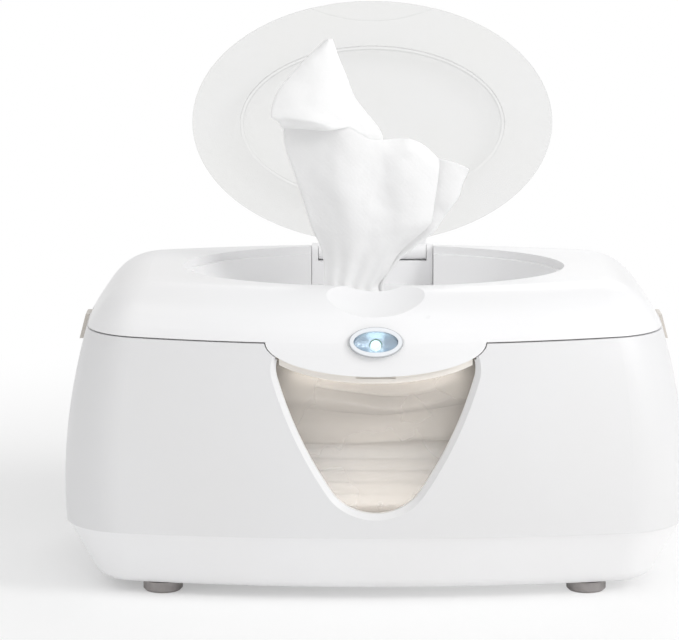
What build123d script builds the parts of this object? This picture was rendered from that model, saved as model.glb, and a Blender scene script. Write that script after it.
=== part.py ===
from build123d import *

import os
from math import cos, radians, sin, tan

os.makedirs("parts", exist_ok=True)

# Baby wipe warmer: X to the right, Y to the back, Z up, standing on its feet at Z = 0.

# ---- Body envelope ----
BODY_HALF_WIDTH = 143.0
BODY_HALF_DEPTH = 96.0
WIDEST_LEVEL = 50.0
TRAY_BOTTOM = 5.0
TRAY_SEAM = 32.6
LID_SEAM = 119.0
LID_BASE = 119.6
LID_TOP = 140.8
SEAM_DRAW = 10.0  # how far the ends draw in from the widest level to the lid seam
DEPTH_DRAW = 0.7  # the front and back draw in this much of that
CORNER_RADIUS = 33.0
SIDE_BULGE = 3.0
LOW_BULGE = 15.0
HIGH_BULGE = 25.0
WALL = 2.6

TRAY_TAPER = 27.0
TRAY_RISE = TRAY_SEAM - TRAY_BOTTOM
TRAY_DRAW = TRAY_RISE * tan(radians(TRAY_TAPER))

# ---- Window ----
WINDOW_BOTTOM = 43.4
WINDOW_CORNER = 14.0
WINDOW_BEVEL = 2.4
FRAME_DEPTH = 5.0  # the wall is this thick round the window
PANE = 2.0

# ---- Lid ----
LID_TAPER = 34.0
LID_ROUND = 26.0
TONGUE_HALF_WIDTH = 49.0
TONGUE_TIP = 105.2
TONGUE_GAP = 0.5
STRIP = 3.4  # how far the liner shows below the tongue
WELL_X = 89.5
WELL_Y = 60.5
WELL_FLOOR = 121.5
REBATE_DEPTH = 3.7
REBATE_WIDTH = 3.0
WELL_DRAFT = 3.5
SCOOP_RADIUS = 50.0
ORIFICE_X = 32.0
ORIFICE_Y = 13.0

# ---- Flip lid ----
FLIP_Y = 63.5
FLIP_Z = 137.5
FLIP_LEAN = 10.0
FLIP_X = 88.5
FLIP_DEPTH = 59.5
FLIP_THICKNESS = 2.0
RING_X = 64.8
RING_Y = 38.0
RING_HEIGHT = 8.0
LIP_INNER = -113.1  # the finger lip's inner edge, measured from the hinge
LIP_RADIUS = 78.3
LIP_DEPTH = 0.9
BARREL_RADIUS = 4.0
BARREL_HALF = 26.3
BLOCK_HALF = 29.6

# ---- Button ----
BUTTON_Y = -89.0
BUTTON_Z = 120.4
BUTTON_TILT = 25.0
BEZEL_X = 12.1
BEZEL_Y = 7.0

# ---- Tub ----
TUB_TOP = 116.0
TUB_BOTTOM = 36.0
TUB_WALL = 2.0
LEDGE_TOP = 114.0
LEDGE_BOTTOM = 112.0
LEDGE_INSET = 11.6

# ---- Main hinge ----
HINGE_Y = 92.2
HINGE_Z = 119.3
KNUCKLE_RADIUS = 3.8
HINGE_PIN_RADIUS = 1.5
RUNNING = 0.05

# ---- Fasteners and feet ----
FOOT_RADIUS = 9.0
FOOT_X = 97.0
FOOT_Y = 60.0
BASE_SCREW_X = 113.0
BASE_SCREW_Y = 42.0
LID_SCREW_X = 100.0
LID_SCREW_Y = 38.0

BODY_LEVELS = (TRAY_SEAM, WIDEST_LEVEL, 75.0, 98.0, LID_SEAM)


def finish(builder, name):
    """Label a finished piece and write it out."""
    builder.part.label = name
    export_step(builder.part, f"parts/{name}.step")


def plan(level, half_width, half_depth, bulge, corner):
    """Level outline of the body: four shallow arcs joined by round corners."""
    end_x = half_width - SIDE_BULGE
    end_y = half_depth - bulge
    with BuildSketch(Plane.XY.offset(level)) as outline:
        with BuildLine():
            ThreePointArc((-end_x, -end_y), (0, -half_depth), (end_x, -end_y))
            ThreePointArc((end_x, -end_y), (half_width, 0), (end_x, end_y))
            ThreePointArc((end_x, end_y), (0, half_depth), (-end_x, end_y))
            ThreePointArc((-end_x, end_y), (-half_width, 0), (-end_x, -end_y))
        make_face()
        fillet(outline.vertices(), corner)
    return outline.sketch


def body_plan(level, inset=0.0, at=None):
    """Outline of the body at a level, drawn in by an inset and placed at that or another level."""
    rise = (level - WIDEST_LEVEL) / (LID_SEAM - WIDEST_LEVEL)
    draw = SEAM_DRAW * rise**2
    up = (level - TRAY_SEAM) / (LID_SEAM - TRAY_SEAM)
    bulge = LOW_BULGE + (HIGH_BULGE - LOW_BULGE) * up
    return plan(
        level if at is None else at,
        BODY_HALF_WIDTH - draw - inset,
        BODY_HALF_DEPTH - DEPTH_DRAW * draw - inset,
        bulge,
        max(CORNER_RADIUS - inset, 10.0),
    )


def body_form(inset):
    """The body's waisted form between its two seams, drawn in by an inset."""
    return loft([body_plan(level, inset) for level in BODY_LEVELS], mode=Mode.PRIVATE)


def body_ring(level, height, outer_inset, inner_inset):
    """Level band that follows the body's outline."""
    with BuildPart() as band:
        extrude(body_plan(level, outer_inset), amount=height)
        extrude(body_plan(level, inner_inset), amount=height, mode=Mode.SUBTRACT)
    return band.part


def front_layer(outline, outer_inset, inner_inset):
    """Slice of the front wall between two depths, cut to an outline seen from the front."""
    with BuildPart() as layer:
        add(body_form(outer_inset))
        add(body_form(inner_inset), mode=Mode.SUBTRACT)
        extrude(outline, amount=BODY_HALF_DEPTH, mode=Mode.INTERSECT)
    return layer.part


def window_outline(margin):
    """The tapering U of the window seen from the front, widened all round by a margin."""
    with BuildSketch(Plane.XZ.offset(40)) as outline:
        with BuildLine():
            floor = ThreePointArc((-18.2, 51.4), (0, WINDOW_BOTTOM), (18.2, 51.4))
            right = ThreePointArc(floor @ 1, (37.3, 86.0), (48.2, 122.0))
            ThreePointArc(floor @ 0, (-37.3, 86.0), (-48.2, 122.0))
            Line(right @ 1, (-48.2, 122.0))
        make_face()
        fillet(outline.vertices().group_by(Axis.Z)[0], WINDOW_CORNER)
        if margin:
            offset(amount=margin)
    return outline.sketch


def tongue(margin):
    """The tongue's half oval seen from the front, widened by a margin."""
    with BuildSketch(Plane.XZ.offset(40)) as outline:
        with Locations((0, LID_BASE)):
            Ellipse(TONGUE_HALF_WIDTH + margin, LID_BASE - TONGUE_TIP + margin)
    return outline.sketch


# ---- Lid form, used for its outside and its hollow ----
def lid_form(inset, top, rounding, drop, blend):
    """Tapered crown over the seam with a skirt below it, drawn in by an inset."""
    with BuildPart() as form:
        seam = body_plan(LID_SEAM, inset, at=LID_BASE)
        extrude(seam, amount=top - LID_BASE, taper=LID_TAPER)
        fillet(form.edges().group_by(Axis.Z)[-1], rounding)
        extrude(seam, amount=-drop, taper=-10)
        fillet(form.edges().filter_by_position(Axis.Z, LID_BASE - 0.01, LID_BASE + 0.01), blend)
    return form.part


lid_outside = lid_form(0, LID_TOP, LID_ROUND, 19, 25)
lid_hollow = lid_form(WALL, LID_TOP - WALL, LID_ROUND - WALL, 19, 22)

with BuildPart() as skirt:
    add(lid_outside)
    add(lid_hollow, mode=Mode.SUBTRACT)
    extrude(tongue(0), amount=90, mode=Mode.INTERSECT)
    split(bisect_by=Plane.XY.offset(LID_BASE + 1), keep=Keep.BOTTOM)
tongue_skirt = skirt.part

FLIP_HINGE = Plane(
    origin=(0, FLIP_Y, FLIP_Z),
    x_dir=(1, 0, 0),
    z_dir=(0, cos(radians(FLIP_LEAN)), -sin(radians(FLIP_LEAN))),
)
BUTTON_FACE = Plane(
    origin=(0, BUTTON_Y, BUTTON_Z),
    x_dir=(1, 0, 0),
    z_dir=(0, -cos(radians(BUTTON_TILT)), sin(radians(BUTTON_TILT))),
)

# ==== Base body ====

# Side tab pockets and hinge knuckles
TAB_HALF = 7.3
TAB_BOTTOM = 106.7
BASE_KNUCKLES = (29.0, 45.0)
LID_KNUCKLE = 37.0
CONDUIT_RADIUS = 1.6
CONDUIT_WIDTH = 12.0
LEAD_X = 6.3  # where the leads run, each side of the middle
LEAD_END = 0.15
KNUCKLE_WIDTH = 6.0
LID_KNUCKLE_WIDTH = 9.4


def base_arm(x, width):
    """Side outline of a casing arm: it starts within the back wall, which curves away from the middle."""
    root = BODY_HALF_DEPTH - 8.6 - (abs(x) + width / 2) ** 2 / 700
    return (root, 104), (HINGE_Y + 3.2, 117.2), (HINGE_Y - 3.5, 118.7), (root, 118.7)


def knuckle(x, width, arm):
    """Hinge knuckle across X with an arm whose outline is given in Y and Z."""
    with BuildPart() as piece:
        with BuildSketch(Plane.YZ.offset(x - width / 2)):
            with Locations((HINGE_Y, HINGE_Z)):
                Circle(KNUCKLE_RADIUS)
            with BuildLine():
                Polyline(*arm, close=True)
            make_face()
        extrude(amount=width)
    return piece.part


LID_ARM = (
    (82.5, LID_BASE + 0.2),
    (HINGE_Y - 3.4, LID_BASE + 0.2),
    (HINGE_Y, HINGE_Z),
    (HINGE_Y + 1, HINGE_Z + 3.6),
    (82.5, 126.5),
)

LEAD_RADIUS = 1.1
BASE_RUN = (
    (80, 79.6, 48),
    (80, 74, 48),
    (30, 81, 70),
    (-6, 83, 84),
    (-LEAD_X, 84, 97),
    (-LEAD_X, 87.9, 108),
    (-LEAD_X, HINGE_Y, 116.4),
    (-LEAD_X, HINGE_Y, HINGE_Z),
    (-LEAD_END, HINGE_Y, HINGE_Z),
)


def swept_run(points, bend, radius):
    """Round rod along straight runs joined by arcs."""
    with BuildPart() as rod:
        with BuildLine() as route:
            FilletPolyline(*points, radius=bend)
        with BuildSketch(Plane(origin=route.line @ 0, z_dir=route.line % 0)):
            Circle(radius)
        sweep()
    return rod


lead_conduit = swept_run(BASE_RUN[3:], 2, CONDUIT_RADIUS)

with BuildPart() as window_frame:
    add(front_layer(window_outline(6), 1, FRAME_DEPTH))
    split(bisect_by=Plane.XY.offset(LID_SEAM - 2), keep=Keep.BOTTOM)

with BuildPart() as outer_casing:
    add(body_form(0))
    add(body_form(WALL), mode=Mode.SUBTRACT)
    add(window_frame.part)
    add(body_ring(TRAY_SEAM, 2.0, 1, 36))
    with Locations((BASE_SCREW_X, 0), (-BASE_SCREW_X, 0)):
        with Locations((0, BASE_SCREW_Y, TRAY_SEAM), (0, -BASE_SCREW_Y, TRAY_SEAM)):
            Cylinder(4.5, 12, align=(Align.CENTER, Align.CENTER, Align.MIN))
            Cylinder(1.5, 10, align=(Align.CENTER, Align.CENTER, Align.MIN), mode=Mode.SUBTRACT)
    extrude(window_outline(0), amount=80, mode=Mode.SUBTRACT)
    rims = outer_casing.edges(Select.LAST).filter_by(GeomType.BSPLINE).sort_by(Axis.Y)
    chamfer(rims[:5], WINDOW_BEVEL)
    add(body_ring(LEDGE_BOTTOM, LEDGE_TOP - LEDGE_BOTTOM, 1, LEDGE_INSET))
    extrude(tongue(TONGUE_GAP), amount=80, mode=Mode.SUBTRACT)
    with Locations((0, -BODY_HALF_DEPTH, LEDGE_BOTTOM)):
        Box(89.2, 37.2, 30, align=(Align.CENTER, Align.CENTER, Align.MIN), mode=Mode.SUBTRACT)
    for side in (-1, 1):
        with Locations((side * 127.5, 0, 104.5)):
            Box(13, 24, 2, align=(Align.CENTER, Align.CENTER, Align.MIN))
        with Locations((side * 121.7, 0, 104.5)):
            Box(1.0, 24, 7.6, align=(Align.CENTER, Align.CENTER, Align.MIN))
        with Locations((side * 137, 0, TAB_BOTTOM)):
            Box(29, 2 * TAB_HALF, 20, align=(Align.CENTER, Align.CENTER, Align.MIN), mode=Mode.SUBTRACT)
    for x in BASE_KNUCKLES:
        add(knuckle(x, KNUCKLE_WIDTH, base_arm(x, KNUCKLE_WIDTH)))
        add(knuckle(-x, KNUCKLE_WIDTH, base_arm(x, KNUCKLE_WIDTH)))
    add(knuckle(-LEAD_X, CONDUIT_WIDTH, base_arm(LEAD_X, CONDUIT_WIDTH)))
    with Locations((0, HINGE_Y, HINGE_Z)):
        Cylinder(HINGE_PIN_RADIUS, 110, rotation=(0, 90, 0), mode=Mode.SUBTRACT)
    with Locations((80, BODY_HALF_DEPTH, 48)):
        Cylinder(4.0, 30, rotation=(90, 0, 0), mode=Mode.SUBTRACT)
    with Locations((LEAD_X, HINGE_Y, HINGE_Z)):
        Cylinder(KNUCKLE_RADIUS + 0.6, 13, rotation=(0, 90, 0), mode=Mode.SUBTRACT)
    add(lead_conduit.part, mode=Mode.SUBTRACT)
finish(outer_casing, "outer_casing")

with BuildPart() as view_window:
    add(front_layer(window_outline(4.5), FRAME_DEPTH, FRAME_DEPTH + PANE))
    split(bisect_by=Plane.XY.offset(LEDGE_BOTTOM - 1.5), keep=Keep.BOTTOM)
finish(view_window, "view_window")


def tray_form(floor, inset):
    """The tray's taper from a floor up to the casing's seam."""
    foot = body_plan(TRAY_SEAM, TRAY_DRAW * (TRAY_SEAM - floor) / TRAY_RISE + inset, at=floor)
    return loft([foot, body_plan(TRAY_SEAM, inset)], ruled=True, mode=Mode.PRIVATE)


with BuildPart() as base_tray:
    add(tray_form(TRAY_BOTTOM, 0.6))
    fillet(base_tray.edges().group_by(Axis.Z)[0], 10)
    add(tray_form(TRAY_BOTTOM + WALL, 3.4), mode=Mode.SUBTRACT)
    with Locations((BASE_SCREW_X, 0), (-BASE_SCREW_X, 0)):
        with Locations((0, BASE_SCREW_Y, TRAY_BOTTOM), (0, -BASE_SCREW_Y, TRAY_BOTTOM)):
            with Locations((0, 0, 1)):
                Cylinder(5, TRAY_SEAM - TRAY_BOTTOM - 1, align=(Align.CENTER, Align.CENTER, Align.MIN))
            Cylinder(3.2, 24, align=(Align.CENTER, Align.CENTER, Align.MIN), mode=Mode.SUBTRACT)
            Cylinder(1.6, 30, align=(Align.CENTER, Align.CENTER, Align.MIN), mode=Mode.SUBTRACT)
    with GridLocations(2 * FOOT_X, 2 * FOOT_Y, 2, 2):
        Cylinder(2.5, 30, mode=Mode.SUBTRACT)
finish(base_tray, "base_tray")

with BuildPart() as base_screws:
    with GridLocations(2 * BASE_SCREW_X, 2 * BASE_SCREW_Y, 2, 2):
        with Locations((0, 0, TRAY_BOTTOM + 24)):
            Cylinder(1.5, 12, align=(Align.CENTER, Align.CENTER, Align.MIN))
            Cylinder(2.9, 2.2, align=(Align.CENTER, Align.CENTER, Align.MAX))
finish(base_screws, "base_screws")

for depth_name, foot_y in (("front", -FOOT_Y), ("rear", FOOT_Y)):
    for side_name, foot_x in (("left", -FOOT_X), ("right", FOOT_X)):
        with BuildPart() as foot:
            with BuildSketch(Plane.XZ):
                with BuildLine():
                    Polyline(
                        (0, 0), (FOOT_RADIUS - 1, 0), (FOOT_RADIUS, 1), (FOOT_RADIUS, TRAY_BOTTOM),
                        (2.5, TRAY_BOTTOM), (2.5, TRAY_BOTTOM + WALL), (3.4, TRAY_BOTTOM + WALL),
                        (1.8, TRAY_BOTTOM + WALL + 2.5), (0, TRAY_BOTTOM + WALL + 2.5), close=True,
                    )
                make_face()
            revolve(axis=Axis.Z)
        foot.part = foot.part.moved(Location((foot_x, foot_y, 0)))
        finish(foot, f"foot_{depth_name}_{side_name}")

TUB_X, TUB_Y = BODY_HALF_WIDTH - SEAM_DRAW - LEDGE_INSET - 0.5, 76.9


def tub_plan(level, inset):
    """Outline of the tub at a level: it narrows towards its floor."""
    low = (TUB_TOP - level) / (TUB_TOP - TUB_BOTTOM)
    return plan(level, TUB_X - 15 * low - inset, TUB_Y - 3 * low - inset, HIGH_BULGE - 9 * low, 21 - inset)


with BuildPart() as tub_flange:
    extrude(body_plan(LID_SEAM, 3.9, at=LEDGE_TOP), amount=TUB_TOP - LEDGE_TOP)
    extrude(tub_plan(TUB_TOP, 1).moved(Location((0, 0, -2))), amount=2, mode=Mode.SUBTRACT)
    with Locations((0, -BODY_HALF_DEPTH, LEDGE_TOP)):
        Box(110, 37.4, 4, mode=Mode.SUBTRACT)
    for side in (-1, 1):
        with Locations((side * 134, 0, LEDGE_TOP)):
            Box(24, 2 * TAB_HALF + 1, 8, mode=Mode.SUBTRACT)

with BuildPart() as inner_tub:
    loft([tub_plan(level, 0) for level in (TUB_BOTTOM, TUB_TOP)], ruled=True)
    fillet(inner_tub.edges().group_by(Axis.Z)[0], 6)
    inside = [tub_plan(level, TUB_WALL) for level in (TUB_BOTTOM + TUB_WALL, TUB_TOP)]
    loft(inside, ruled=True, mode=Mode.SUBTRACT)
    add(tub_flange.part)
finish(inner_tub, "inner_tub")

STACK_BOTTOM = TUB_BOTTOM + TUB_WALL
LAYERS = 5
LAYER = 4.2
STACK_TOP = STACK_BOTTOM + LAYERS * LAYER
STACK_X = 176.0
STACK_Y = 118.0
with BuildPart() as wipe_stack:
    for layer in range(LAYERS):
        shift = 0.6 * (-1) ** layer
        with BuildSketch(Plane.XY.offset(STACK_BOTTOM + layer * LAYER)):
            with Locations((shift, 0)):
                RectangleRounded(STACK_X, STACK_Y, 7)
        extrude(amount=LAYER - 0.6)
        with BuildSketch(Plane.XY.offset(STACK_BOTTOM + layer * LAYER)):
            RectangleRounded(STACK_X - 4, STACK_Y - 4, 6)
        extrude(amount=LAYER)
finish(wipe_stack, "wipe_stack")

# Each row of the loose wipe: level, half width, depth of its folds, distance in front of the middle
FOLDS = ((STACK_TOP, 62, 9, 36), (72.0, 52, 7, 30), (84.0, 38, 5, 22), (96.0, 21, 3, 13))
WIPE_HALF = 1.2  # half the thickness that stands for the loose cloth


def fold_section(level, half_width, depth, front):
    """Zigzag of arcs across X, a sheet's thickness deep."""
    step = half_width / 2
    xs = [-half_width + i * step for i in range(5)]
    with BuildSketch(Plane.XY.offset(level)) as section:
        with BuildLine():
            for y in (-front - WIPE_HALF, -front + WIPE_HALF):
                for i in range(4):
                    middle = (xs[i] + xs[i + 1]) / 2
                    ThreePointArc((xs[i], y), (middle, y + depth * (-1) ** i), (xs[i + 1], y))
            for x in (xs[0], xs[4]):
                Line((x, -front - WIPE_HALF), (x, -front + WIPE_HALF))
        make_face()
    return section.sketch


with BuildPart() as loose_wipe:
    loft([fold_section(*row) for row in FOLDS])
    with BuildSketch(Plane.XY.offset(STACK_TOP)):
        with Locations((0, -7)):
            RectangleRounded(124, 82, 8)
    extrude(amount=WIPE_HALF)
finish(loose_wipe, "loose_wipe")

with BuildPart() as main_hinge_pins:
    with Locations((37, HINGE_Y, HINGE_Z), (-37, HINGE_Y, HINGE_Z)):
        Cylinder(HINGE_PIN_RADIUS, 22, rotation=(0, 90, 0))
finish(main_hinge_pins, "main_hinge_pins")

JACK = Plane(origin=(80, 91.6, 48), x_dir=(1, 0, 0), z_dir=(0, 1, 0))

with BuildPart() as dc_jack:
    with BuildSketch(JACK):
        Circle(5.5)
    extrude(amount=1.2)
    with BuildSketch(JACK):
        Circle(3.9)
    extrude(amount=-12)
    with BuildSketch(JACK.offset(1.2)):
        Circle(2.8)
    extrude(amount=-10.2, mode=Mode.SUBTRACT)
    with BuildSketch(JACK.offset(-9.5)):
        Circle(1.05)
    extrude(amount=9.5)
finish(dc_jack, "dc_jack")

with BuildPart() as jack_nut:
    with BuildSketch(JACK.offset(-5.4)):
        RegularPolygon(6, 6)
        Circle(3.9, mode=Mode.SUBTRACT)
    extrude(amount=-2)
finish(jack_nut, "jack_nut")

base_lead = swept_run(BASE_RUN, 2, LEAD_RADIUS)
finish(base_lead, "base_lead")

TAB_OUTLINE = ((130.1, 107), (138.3, 107), (135.3, 118.4), (131.7, 118.4), (131.7, 111.5), (130.1, 111.5))
for side_name, side in (("left", -1), ("right", 1)):
    with BuildPart() as release_button:
        with BuildSketch(Plane.XZ.offset(-(TAB_HALF - 0.4))):
            with BuildLine():
                Polyline(*[(side * x, z) for x, z in TAB_OUTLINE], close=True)
            make_face()
        extrude(amount=2 * (TAB_HALF - 0.4))
        with Locations((side * 130.9, 0, 109.25)):
            Box(1.6, 21.8, 4.5)
        with BuildSketch(Plane.XY.offset(109.5)):
            with Locations((side * 127.6, 0)):
                Rectangle(6.4, 2 * (TAB_HALF - 0.4))
            with Locations((side * 127.8, 0)):
                Rectangle(4.6, 9.2, mode=Mode.SUBTRACT)
        extrude(amount=2)
    finish(release_button, f"release_button_{side_name}")
    with BuildPart() as release_springs:
        with BuildSketch(Plane.YZ.offset(side * 122.2)):
            with Locations((9.0, 109.3), (-9.0, 109.3)):
                Circle(1.8)
                Circle(1.2, mode=Mode.SUBTRACT)
        extrude(amount=side * 7.9)
    finish(release_springs, f"release_springs_{side_name}")

# ==== Lid body ====

SCOOP_LEAN = 30.0
SCOOP_BITE = 5.0
scoop_center = (
    0,
    -66 - (SCOOP_RADIUS - SCOOP_BITE) * sin(radians(SCOOP_LEAN)),
    LID_TOP + (SCOOP_RADIUS - SCOOP_BITE) * cos(radians(SCOOP_LEAN)),
)
NOTCH_HALF = 29.85
NOTCH_BACK = 69.5
LEAD_SLOT = ((93.4, 118.1), (93.4, 120.6), (90, 123.6), (74, 123.6), (74, 120.4), (88.8, 120.4), (91.0, 117.5))
HOOK = (
    (126.6, 122.5),
    (126.6, 109.2),
    (125.8, 109.2),
    (126.6, 107.6),
    (127.8, 107.6),
    (127.8, 119.6),
    (130.8, 119.6),
    (130.8, 122.5),
)


def oval(plane, half_x, half_y):
    """Ellipse on a plane."""
    with BuildSketch(plane) as shape:
        Ellipse(half_x, half_y)
    return shape.sketch


def bowl(grow, floor):
    """Oval bowl of the well, grown outwards."""
    rim = Plane.XY.offset(LID_TOP - REBATE_DEPTH)
    mouth_x = WELL_X - REBATE_WIDTH + grow
    mouth_y = WELL_Y - REBATE_WIDTH + grow
    foot = oval(Plane.XY.offset(floor), mouth_x - WELL_DRAFT, mouth_y - WELL_DRAFT)
    return loft([foot, oval(rim, mouth_x, mouth_y)], ruled=True, mode=Mode.PRIVATE)


with BuildPart() as lid_inserts:
    add(bowl(2.2, WELL_FLOOR - 2.2))
    with BuildSketch(Plane.XY.offset(LID_TOP - REBATE_DEPTH - 2.2)):
        Ellipse(WELL_X + 2.2, WELL_Y + 2.2)
    extrude(amount=10)
    with Locations(scoop_center):
        Sphere(SCOOP_RADIUS + 2.4)
    with Locations((0, 61, WELL_FLOOR - 2.2)):
        Box(2 * NOTCH_HALF + 5, 22, 30, align=(Align.CENTER, Align.CENTER, Align.MIN))
    with GridLocations(2 * LID_SCREW_X, 2 * LID_SCREW_Y, 2, 2):
        with Locations((0, 0, LID_TOP)):
            Cylinder(4, LID_TOP - 110, align=(Align.CENTER, Align.CENTER, Align.MAX))
    with BuildSketch(BUTTON_FACE.offset(-9)):
        with Locations((19, 6), (-19, 6)):
            Circle(2.4)
    extrude(amount=10)
    add(lid_outside, mode=Mode.INTERSECT)

with BuildPart() as lid_shell:
    add(lid_outside)
    add(lid_hollow, mode=Mode.SUBTRACT)
    split(bisect_by=Plane.XY.offset(LID_BASE), keep=Keep.TOP)
    add(tongue_skirt)
    add(lid_inserts.part)
    add(bowl(0, WELL_FLOOR), mode=Mode.SUBTRACT)
    with BuildSketch(Plane.XY.offset(LID_TOP - REBATE_DEPTH)):
        Ellipse(WELL_X, WELL_Y)
    extrude(amount=10, mode=Mode.SUBTRACT)
    with Locations(scoop_center):
        Sphere(SCOOP_RADIUS, mode=Mode.SUBTRACT)
    with Locations((0, NOTCH_BACK, WELL_FLOOR)):
        Box(2 * NOTCH_HALF, 25, 30, align=(Align.CENTER, Align.MAX, Align.MIN), mode=Mode.SUBTRACT)
    dimple_foot = oval(BUTTON_FACE.offset(-1.2), BEZEL_X + 0.3, BEZEL_Y + 0.3)
    loft([dimple_foot, oval(BUTTON_FACE.offset(2), 18.5, 13.4)], ruled=True, mode=Mode.SUBTRACT)
    with BuildSketch(Plane.XY.offset(WELL_FLOOR - 4)):
        Ellipse(ORIFICE_X, ORIFICE_Y)
    extrude(amount=8, mode=Mode.SUBTRACT)
    with BuildSketch(BUTTON_FACE.offset(-14)):
        Ellipse(BEZEL_X - 0.6, BEZEL_Y - 0.6)
    extrude(amount=20, mode=Mode.SUBTRACT)
    with BuildSketch(BUTTON_FACE.offset(-9)):
        with Locations((19, 6), (-19, 6)):
            Circle(1.1)
    extrude(amount=6, mode=Mode.SUBTRACT)
    with GridLocations(2 * LID_SCREW_X, 2 * LID_SCREW_Y, 2, 2):
        with Locations((0, 0, 109)):
            Cylinder(1.4, 13, align=(Align.CENTER, Align.CENTER, Align.MIN), mode=Mode.SUBTRACT)
    add(knuckle(LEAD_X, CONDUIT_WIDTH, LID_ARM))
    with Locations((LEAD_X - 1.4, HINGE_Y, HINGE_Z)):
        Cylinder(CONDUIT_RADIUS, 12, rotation=(0, 90, 0), mode=Mode.SUBTRACT)
    with BuildSketch(Plane.YZ.offset(LEAD_X - CONDUIT_RADIUS)):
        with BuildLine():
            Polyline(*LEAD_SLOT, close=True)
        make_face()
    extrude(amount=2 * CONDUIT_RADIUS, mode=Mode.SUBTRACT)
    for side in (-1, 1):
        with BuildSketch(Plane.XZ.offset(-3)):
            with BuildLine():
                Polyline(*[(side * x, z) for x, z in HOOK], close=True)
            make_face()
        extrude(amount=6)
        add(knuckle(side * LID_KNUCKLE, LID_KNUCKLE_WIDTH, LID_ARM))
        with Locations((side * LID_KNUCKLE, HINGE_Y, HINGE_Z)):
            Cylinder(HINGE_PIN_RADIUS + RUNNING, 12, rotation=(0, 90, 0), mode=Mode.SUBTRACT)
finish(lid_shell, "lid_shell")

LINER_X, LINER_Y = 115.5, 71.5
LINER_BOTTOM = 108.0
LINER_FLANGE = 118.0
LINER_TOP = WELL_FLOOR - 2.2

with BuildPart() as liner_rim:
    extrude(body_plan(LID_SEAM, 3.3, at=LINER_FLANGE), amount=LINER_TOP - LINER_FLANGE)
    extrude(plan(LINER_FLANGE, LINER_X - 1, LINER_Y - 1, HIGH_BULGE - 1, 17), amount=2, mode=Mode.SUBTRACT)
    for side in (-1, 1):
        with Locations((side * 133, 0, LINER_FLANGE)):
            Box(24, 12, 8, mode=Mode.SUBTRACT)

with BuildPart() as liner_strip:
    add(lid_form(2.8, LID_TOP, LID_ROUND, 22, 20))
    add(lid_form(4.6, LID_TOP, LID_ROUND - 2, 22, 20), mode=Mode.SUBTRACT)
    extrude(tongue(STRIP), amount=90, mode=Mode.INTERSECT)
    with Locations((0, -70, LID_BASE)):
        Box(86, 60, 40, align=(Align.CENTER, Align.CENTER, Align.MAX), mode=Mode.INTERSECT)

with BuildPart() as strip_recess:
    add(lid_form(2.8, LID_TOP, LID_ROUND, 22, 20))
    add(lid_form(3.7, LID_TOP, LID_ROUND, 22, 20), mode=Mode.SUBTRACT)
    with Locations((0, -70, 103.9)):
        Box(17.5, 60, 4, align=(Align.CENTER, Align.CENTER, Align.MIN), mode=Mode.INTERSECT)

with BuildPart() as lid_liner:
    extrude(plan(LINER_BOTTOM, LINER_X, LINER_Y, HIGH_BULGE - 1, 18), amount=LINER_TOP - LINER_BOTTOM)
    extrude(plan(LINER_BOTTOM + 2, LINER_X - 2, LINER_Y - 2, HIGH_BULGE - 1, 16), amount=12, mode=Mode.SUBTRACT)
    add(liner_rim.part)
    add(liner_strip.part)
    add(strip_recess.part, mode=Mode.SUBTRACT)
    with Locations((0, -96, LINER_FLANGE)):
        Box(48, 46, 8, mode=Mode.SUBTRACT)
    with BuildSketch(BUTTON_FACE.offset(-14)):
        Ellipse(BEZEL_X + 0.6, BEZEL_Y + 0.6)
    extrude(amount=20, mode=Mode.SUBTRACT)
    with BuildSketch(Plane.XY.offset(LINER_BOTTOM)):
        Ellipse(ORIFICE_X + 2, ORIFICE_Y + 2)
    extrude(amount=LINER_TOP - LINER_BOTTOM)
    with BuildSketch(Plane.XY.offset(LINER_BOTTOM)):
        Ellipse(ORIFICE_X, ORIFICE_Y)
    extrude(amount=20, mode=Mode.SUBTRACT)
    with GridLocations(2 * LID_SCREW_X, 2 * LID_SCREW_Y, 2, 2):
        with Locations((0, 0, LINER_BOTTOM)):
            Cylinder(1.6, 10, mode=Mode.SUBTRACT)
finish(lid_liner, "lid_liner")

with BuildPart() as lid_screws:
    with GridLocations(2 * LID_SCREW_X, 2 * LID_SCREW_Y, 2, 2):
        with Locations((0, 0, LINER_BOTTOM)):
            Cylinder(1.4, 12, align=(Align.CENTER, Align.CENTER, Align.MIN))
            Cylinder(2.8, 1.8, align=(Align.CENTER, Align.CENTER, Align.MAX))
finish(lid_screws, "lid_screws")

with BuildPart() as lid_gasket:
    extrude(plan(116.5, TUB_X + 0.8, TUB_Y + 0.8, HIGH_BULGE, 21), amount=LINER_FLANGE - 116.5)
    extrude(plan(116.5, TUB_X - 2.5, TUB_Y - 2.5, HIGH_BULGE, 19), amount=2, mode=Mode.SUBTRACT)
finish(lid_gasket, "lid_gasket")


def oval_layer(name, level, height, half_x, half_y, hole):
    """Flat oval layer round the orifice."""
    with BuildPart() as sheet:
        with BuildSketch(Plane.XY.offset(level)):
            Ellipse(half_x, half_y)
            Ellipse(ORIFICE_X + hole, ORIFICE_Y + hole, mode=Mode.SUBTRACT)
            if name == "insulation_pad":
                with Locations((58, 0), (-58, 0)):
                    Circle(10, mode=Mode.SUBTRACT)
        extrude(amount=height)
    finish(sheet, name)


oval_layer("heater_plate", LINER_BOTTOM + 2, 1.5, 82, 50, 3)
oval_layer("heater_film", LINER_BOTTOM + 3.5, 0.4, 78, 46, 5)
oval_layer("insulation_pad", LINER_BOTTOM + 3.9, 3.0, 74, 42, 7)

with BuildPart() as thermostat:
    with Locations((-58, 0, LINER_BOTTOM + 3.9)):
        Cylinder(8, 3.4, align=(Align.CENTER, Align.CENTER, Align.MIN))
        Box(4, 14, 5, align=(Align.CENTER, Align.CENTER, Align.MIN))
finish(thermostat, "thermostat")

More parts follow.
